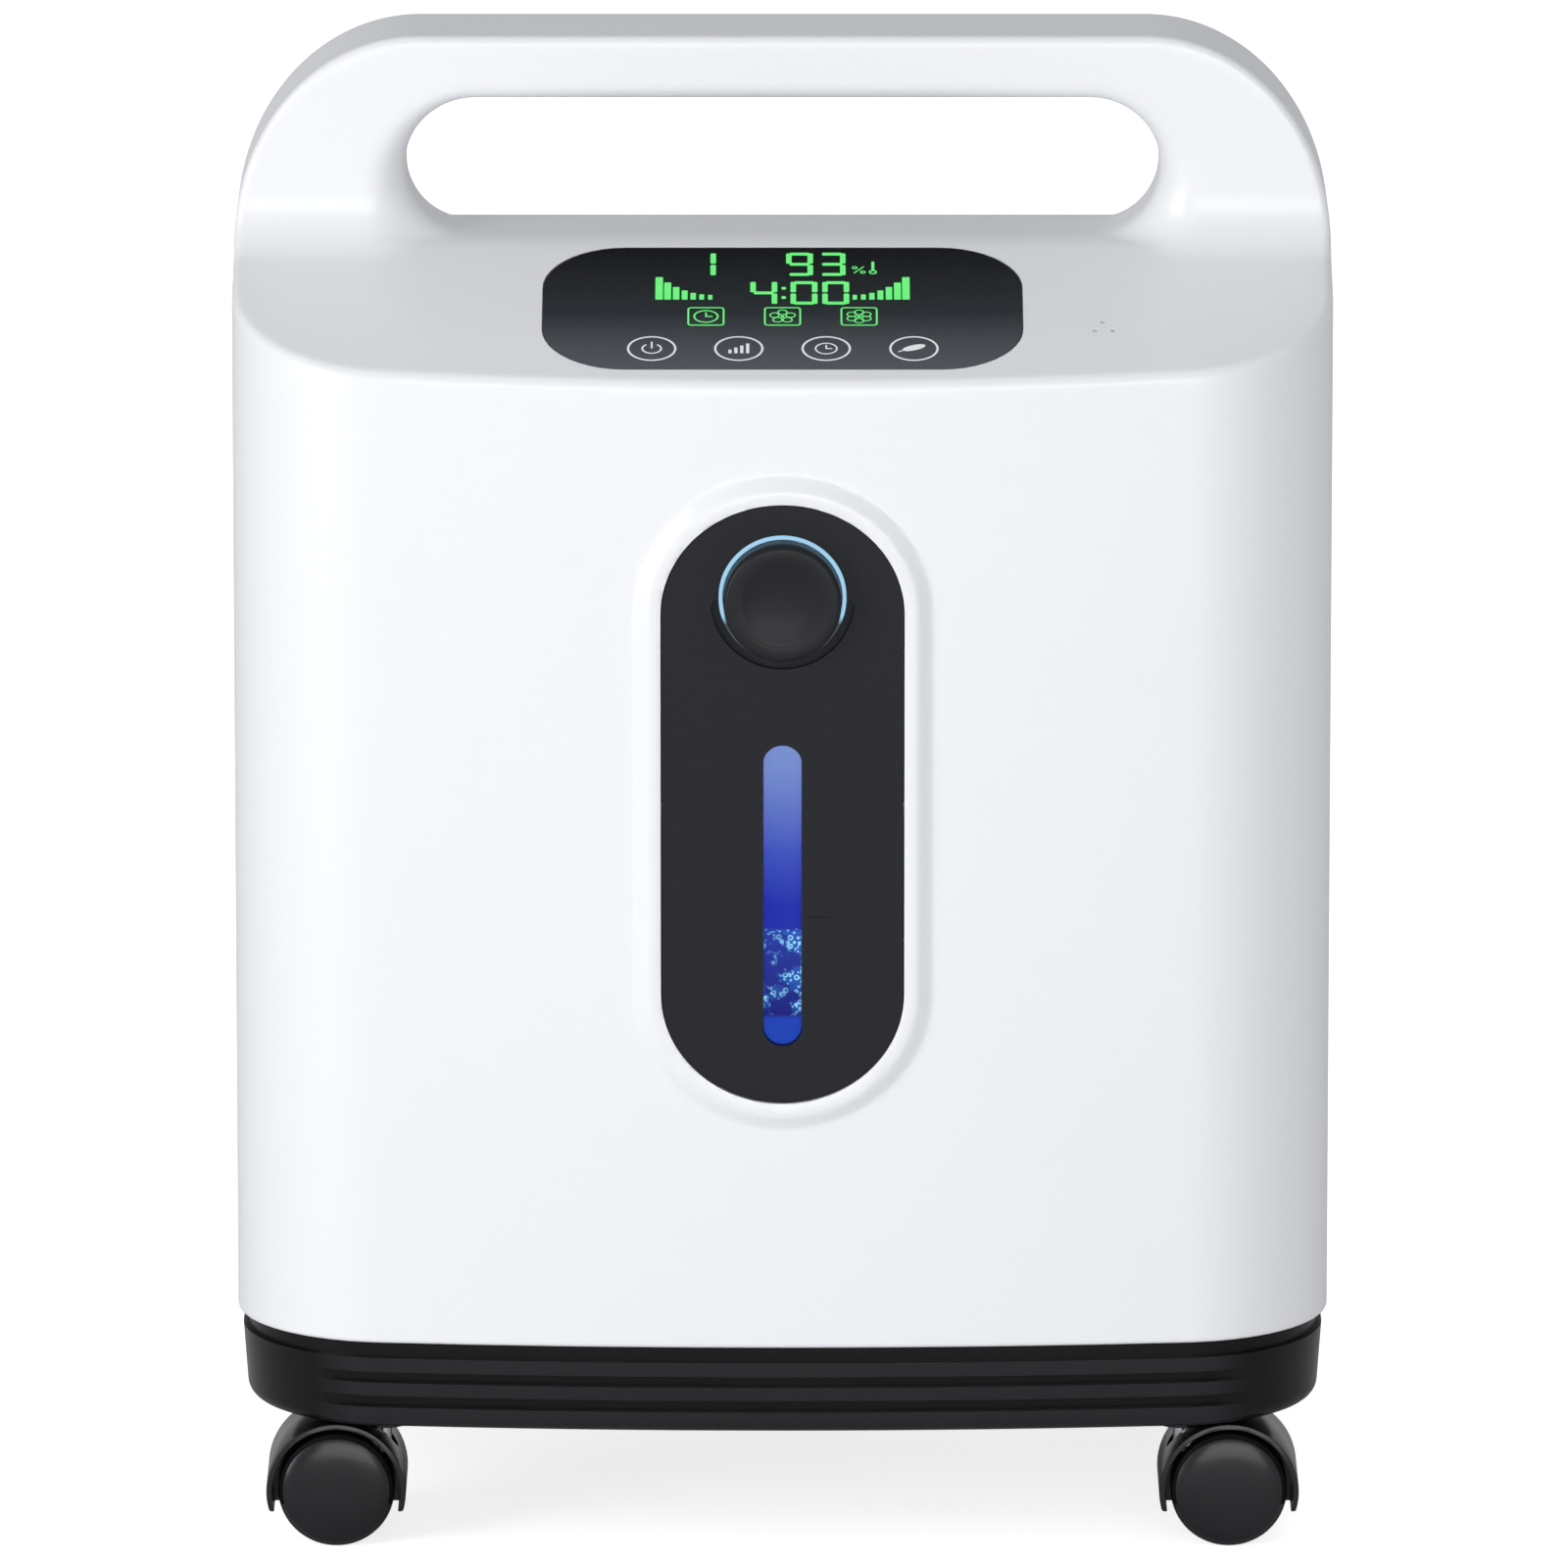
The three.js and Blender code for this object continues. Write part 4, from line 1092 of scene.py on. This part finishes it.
def makeDisplay():
    panel = deckPrism("displayPanel", -0.05, -deck["depth"], 0.0)
    roundEdges(panel, 0.35, 2, 50)
    glass = Finish("smokedDisplayGlass", Roughness=0.14, Specular_IOR_Level=0.04)
    # painted reflection: the glass's base colour fades from dark grey at the front edge to black at the
    # back
    along = glass.axis("Y").step(-0.108, -0.028)
    reflectionTone = glass.ramp(along, [
        (0.0, (0.098, 0.111, 0.130)), (0.2, (0.072, 0.081, 0.094)), (0.46, (0.028, 0.032, 0.038)),
        (1.0, (0.003, 0.003, 0.004))])
    glass.feed("Base Color", glass.mix(glass.noise(14.0) * 0.1, reflectionTone, (0.02, 0.021, 0.024)))
    finishPiece(panel, "housing", glass.material, ["display_panel"], 40, even=True)
    green = Finish("litGreenSegments", Base_Color=(0.02, 0.10, 0.03), Roughness=0.4,
                   Emission_Strength=1.0)
    green.feed("Emission Color", green.mix(green.noise(120.0), (0.09, 0.72, 0.13), (0.13, 0.86, 0.19)))
    finishPiece(joinAll(litMarks(), "litSegments"), "housing", green.material)
    pale = Finish("paleKeyPrint", Roughness=0.5, Emission_Strength=0.25)
    pale.tint((0.62, 0.64, 0.66), (0.74, 0.76, 0.78), 120.0, 2.0)
    pale.feed("Emission Color", (0.8, 0.82, 0.85))
    finishPiece(joinAll(keyMarks(), "keyOutlines"), "housing", pale.material)


makeDisplay()
report("display")


# side intake and rear grille

grille = {"louvres": 5, "louvreFoot": 3.0, "louvreStep": 4.2, "louvreGap": 2.2, "louvreFall": 2.0,
          "louvreEnd": 3.5, "grips": 3, "gripStep": 4.2, "gripHalf": 22, "gripDeep": 0.8,
          "slots": 12, "slotStep": 7.4, "slotEnds": (2.0, 44.0), "slotTall": 3.8, "slotRound": 1.85}


def makeGrilles():
    low, high = boxOf("side_grille")
    louvres = addBox("sideGrille", low, high)
    roundEdges(louvres, 0.6, 2)
    fall, gap, end = grille["louvreFall"], grille["louvreGap"], grille["louvreEnd"]
    for step in range(grille["louvres"]):
        z = low.z + grille["louvreFoot"] + grille["louvreStep"] * step
        slot = [(low.x - 1, z + fall), (high.x + 1, z), (high.x + 1, z + gap),
                (low.x - 1, z + fall + gap)]
        carve(louvres, addOutline("louvreSlot", slot, "y", low.y + end, high.y - end))
    finishPiece(louvres, "housing", grilleWhite, ["side_grille"], 30, even=True)
    low, high = boxOf("filter_cover")
    cover = addBox("filterCover", low, high)
    roundEdges(cover, 1.1, 3)
    half, deep = grille["gripHalf"], grille["gripDeep"]
    for step in range(grille["grips"]):
        z = (low.z + high.z) / 2 + (step - 1) * grille["gripStep"]
        carve(cover, addBox("gripGroove", (high.x - deep, -half, z - deep),
                            (high.x + 2, half, z + deep)))
    finishPiece(cover, "filter_cover", trayBlack, ["filter_cover"], 30, even=True)
    low, high = boxOf("exhaust_grille")
    rear = addBox("exhaustGrille", low, high)
    roundEdges(rear, 1.2, 3)
    inner, outer = grille["slotEnds"]
    shape = roundedPoints(outer - inner, grille["slotTall"], grille["slotRound"], 6)
    for step in range(grille["slots"]):
        z = low.z + grille["slotStep"] * (step + 1)
        for side in (-1, 1):
            slot = [(a + side * (inner + outer) / 2, b + z) for a, b in shape]
            carve(rear, addOutline("exhaustSlot", slot, "y", low.y - 1, high.y + 1))
    finishPiece(rear, "housing", trayBlack, ["exhaust_grille"], 30, even=True)


makeGrilles()
report("grilles")


# casters

caster = {"reach": 24.0, "inner": 22.2, "low": 13.0, "half": 19.3, "wheelGap": 4.7,
          "wheel": 20.0, "inside": 5.0, "bore": 2.8, "stem": 5.2, "collar": 9.0, "collarTop": 45.2,
          "dome": [(0, 0), (6, 0.06), (11, 0.32), (15, 0.85), (17.2, 1.4), (18.3, 1.9), (18.7, 2.5),
                   (19.1, 2.7), (19.6, 3.1)]}


def makeWheel(node, centre, way):
    near, far = centre.y + way * caster["inside"], centre.y + way * caster["half"]
    r = caster["wheel"]
    profile = [(a, far - way * b) for a, b in caster["dome"] + [(r, 4.2)]]
    profile += [(r, near + way * 1.2), (r - 1.0, near), (caster["bore"], near),
                (caster["bore"], far - way * 3.0), (0, far - way * 3.0)]
    wheel = addSpin(camel(node), profile, "y", (centre.x, 0, centre.z), 72)
    body = node.replace("caster_wheel", "wheel")
    finishPiece(wheel, body, casterBlack, [node], 30)


def makeHood(node, centre, stem):
    y0, y1 = centre.y - caster["half"], centre.y + caster["half"]
    spot = (centre.x, centre.z)
    hood = addRod("hoodBlank", caster["reach"], "y", y0, y1, spot, 96)
    roundEdges(hood, 0.7, 2)
    for low, high in ((y0 - 1, centre.y - caster["wheelGap"]), (centre.y + caster["wheelGap"], y1 + 1)):
        carve(hood, addRod("wheelArch", caster["inner"], "y", low, high, spot, 96))
    carve(hood, addBox("hoodFoot", (centre.x - 40, y0 - 5, -20),
                       (centre.x + 40, y1 + 5, caster["low"])))
    roundEdges(hood, 0.6, 2, 40, lambda p: p.z < caster["low"] + 0.2)
    weld(hood, addRod("stemCollar", caster["collar"], "z", 40, caster["collarTop"],
                      (stem, centre.y), 48))
    carve(hood, addRod("stemHole", caster["stem"], "z", 26, 60, (stem, centre.y), 48))
    carve(hood, addRod("axleHole", caster["bore"] - 0.1, "y", y0 - 1, y1 + 1, spot, 32))
    hood.name = hood.data.name = camel(node)
    finishPiece(hood, node.replace("_hood", ""), casterBlack, [node], 30)


def makeCasters():
    for corner in ("front_left", "front_right", "rear_left", "rear_right"):
        low, high = boxOf(f"caster_axle_{corner}")
        centre = (low + high) / 2
        stemLow, stemHigh = boxOf(f"caster_stem_{corner}")
        makeHood(f"caster_hood_{corner}", centre, (stemLow.x + stemHigh.x) / 2)
        makeWheel(f"caster_wheel_{corner}_front", centre, -1)
        makeWheel(f"caster_wheel_{corner}_back", centre, 1)


makeCasters()
report("casters")


# outlet plug and seal, seen when the cap is pulled out

def makePlug():
    low, high = boxOf("cap_plug")
    r, bore = (high.x - low.x) / 2, 6.0
    profile = [(bore, low.y), (r - 0.6, low.y), (r, low.y + 0.6), (r, high.y - 1.2),
               (r - 1.2, high.y), (bore, high.y)]
    plug = addSpin("outletPlug", profile, "y", (0, 0, outlet["z"]), 64)
    finishPiece(plug, "outlet_plug", capBlack, ["cap_plug"], 35)
    low, high = boxOf("cap_seal")
    middle, half = (low.y + high.y) / 2, (high.y - low.y) / 2
    inner, outer = r + 0.3, (high.x - low.x) / 2
    profile = arcPoints((outer - half, middle), half, -90, 90, 9) + [(inner, high.y), (inner, low.y)]
    seal = addSpin("outletSeal", profile, "y", (0, 0, outlet["z"]), 64)
    finishPiece(seal, "outlet_plug", sealRubber, ["cap_seal"], 35)


# inner nodes keep their CAD shape and get a procedural finish

def metal(name, dark, light, roughness, brush=(30.0, 30.0, 900.0)):
    made = Finish(name, Metallic=1.0)
    grainAt = made.node("ShaderNodeMapping", {"Vector": made.coords, "Scale": brush})
    streak = made.node("ShaderNodeTexNoise", {"Vector": grainAt, "Scale": 3.0, "Detail": 4.0})
    made.tint(dark, light, 14.0)
    made.feed("Roughness", roughness + (streak - 0.5) * 0.16)
    made.bump(streak, 0.00003)
    return made.material


def boardFinish():
    made = Finish("greenCircuitBoard", Coat_Weight=0.25)
    cells = made.node("ShaderNodeTexBrick", {
        "Vector": made.coords, "Scale": 90.0, "Color1": (0.01, 0.10, 0.035),
        "Color2": (0.015, 0.14, 0.05), "Mortar": (0.10, 0.16, 0.05), "Mortar Size": 0.03},
        {"offset": 0.5})
    made.feed("Base Color", cells)
    made.feed("Roughness", 0.38 + made.noise(200.0) * 0.1)
    made.bump(made.noise(900.0), 0.00004)
    return made.material


def foamFinish():
    made = Finish("openCellFoam", Roughness=0.95)
    cells = made.cells(800.0)
    made.feed("Base Color", made.mix(cells.clamp(), (0.012, 0.012, 0.013), (0.06, 0.06, 0.065)))
    made.bump(cells, 0.0004)
    return made.material


def clearFinish():
    made = Finish("clearTankPlastic", Transmission_Weight=0.85, IOR=1.49)
    drift = made.tint((0.80, 0.86, 0.93), (0.88, 0.92, 0.96), 18.0, 2.0)
    made.feed("Roughness", 0.10 + drift * 0.08)
    return made.material


sealRubber = plastic("sealRubber", (0.012, 0.012, 0.012), (0.022, 0.022, 0.022), 0.72, grain=2.0)
innerPlastic = plastic("innerGreyPlastic", (0.10, 0.10, 0.11), (0.15, 0.15, 0.16), 0.5)
finishes = {
    "steel_pin": metal("groundSteel", (0.52, 0.53, 0.55), (0.62, 0.63, 0.65), 0.24),
    "sheet_steel": metal("zincedSheet", (0.42, 0.43, 0.44), (0.60, 0.61, 0.61), 0.42),
    "cast_aluminium": metal("castAluminium", (0.36, 0.37, 0.38), (0.50, 0.51, 0.52), 0.52,
                            (60.0, 60.0, 60.0)),
    "drawn_aluminium": metal("drawnAluminium", (0.60, 0.61, 0.63), (0.72, 0.73, 0.75), 0.30),
    "copper_tube": metal("copperTube", (0.62, 0.27, 0.14), (0.78, 0.38, 0.22), 0.28),
    "circuit_board": boardFinish(), "filter_foam": foamFinish(), "clear_plastic": clearFinish(),
    "seal_rubber": sealRubber, "inner_plastic": innerPlastic, "caster_gloss": casterBlack,
    "black_tray": trayBlack, "black_fascia": fasciaBlack, "white_shell": whiteShell,
}


def finishNodes():
    slots = {part["node"]: part["material_slot"] for part in frame["record"]["subparts"]}
    hidden = {node for piece in scene.objects for node in piece.get("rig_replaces", [])}
    for node, piece in frame["nodes"].items():
        if node not in hidden:
            for place in piece.material_slots:
                place.material = finishes[slots[node]]


makePlug()
finishNodes()
report("inner nodes")
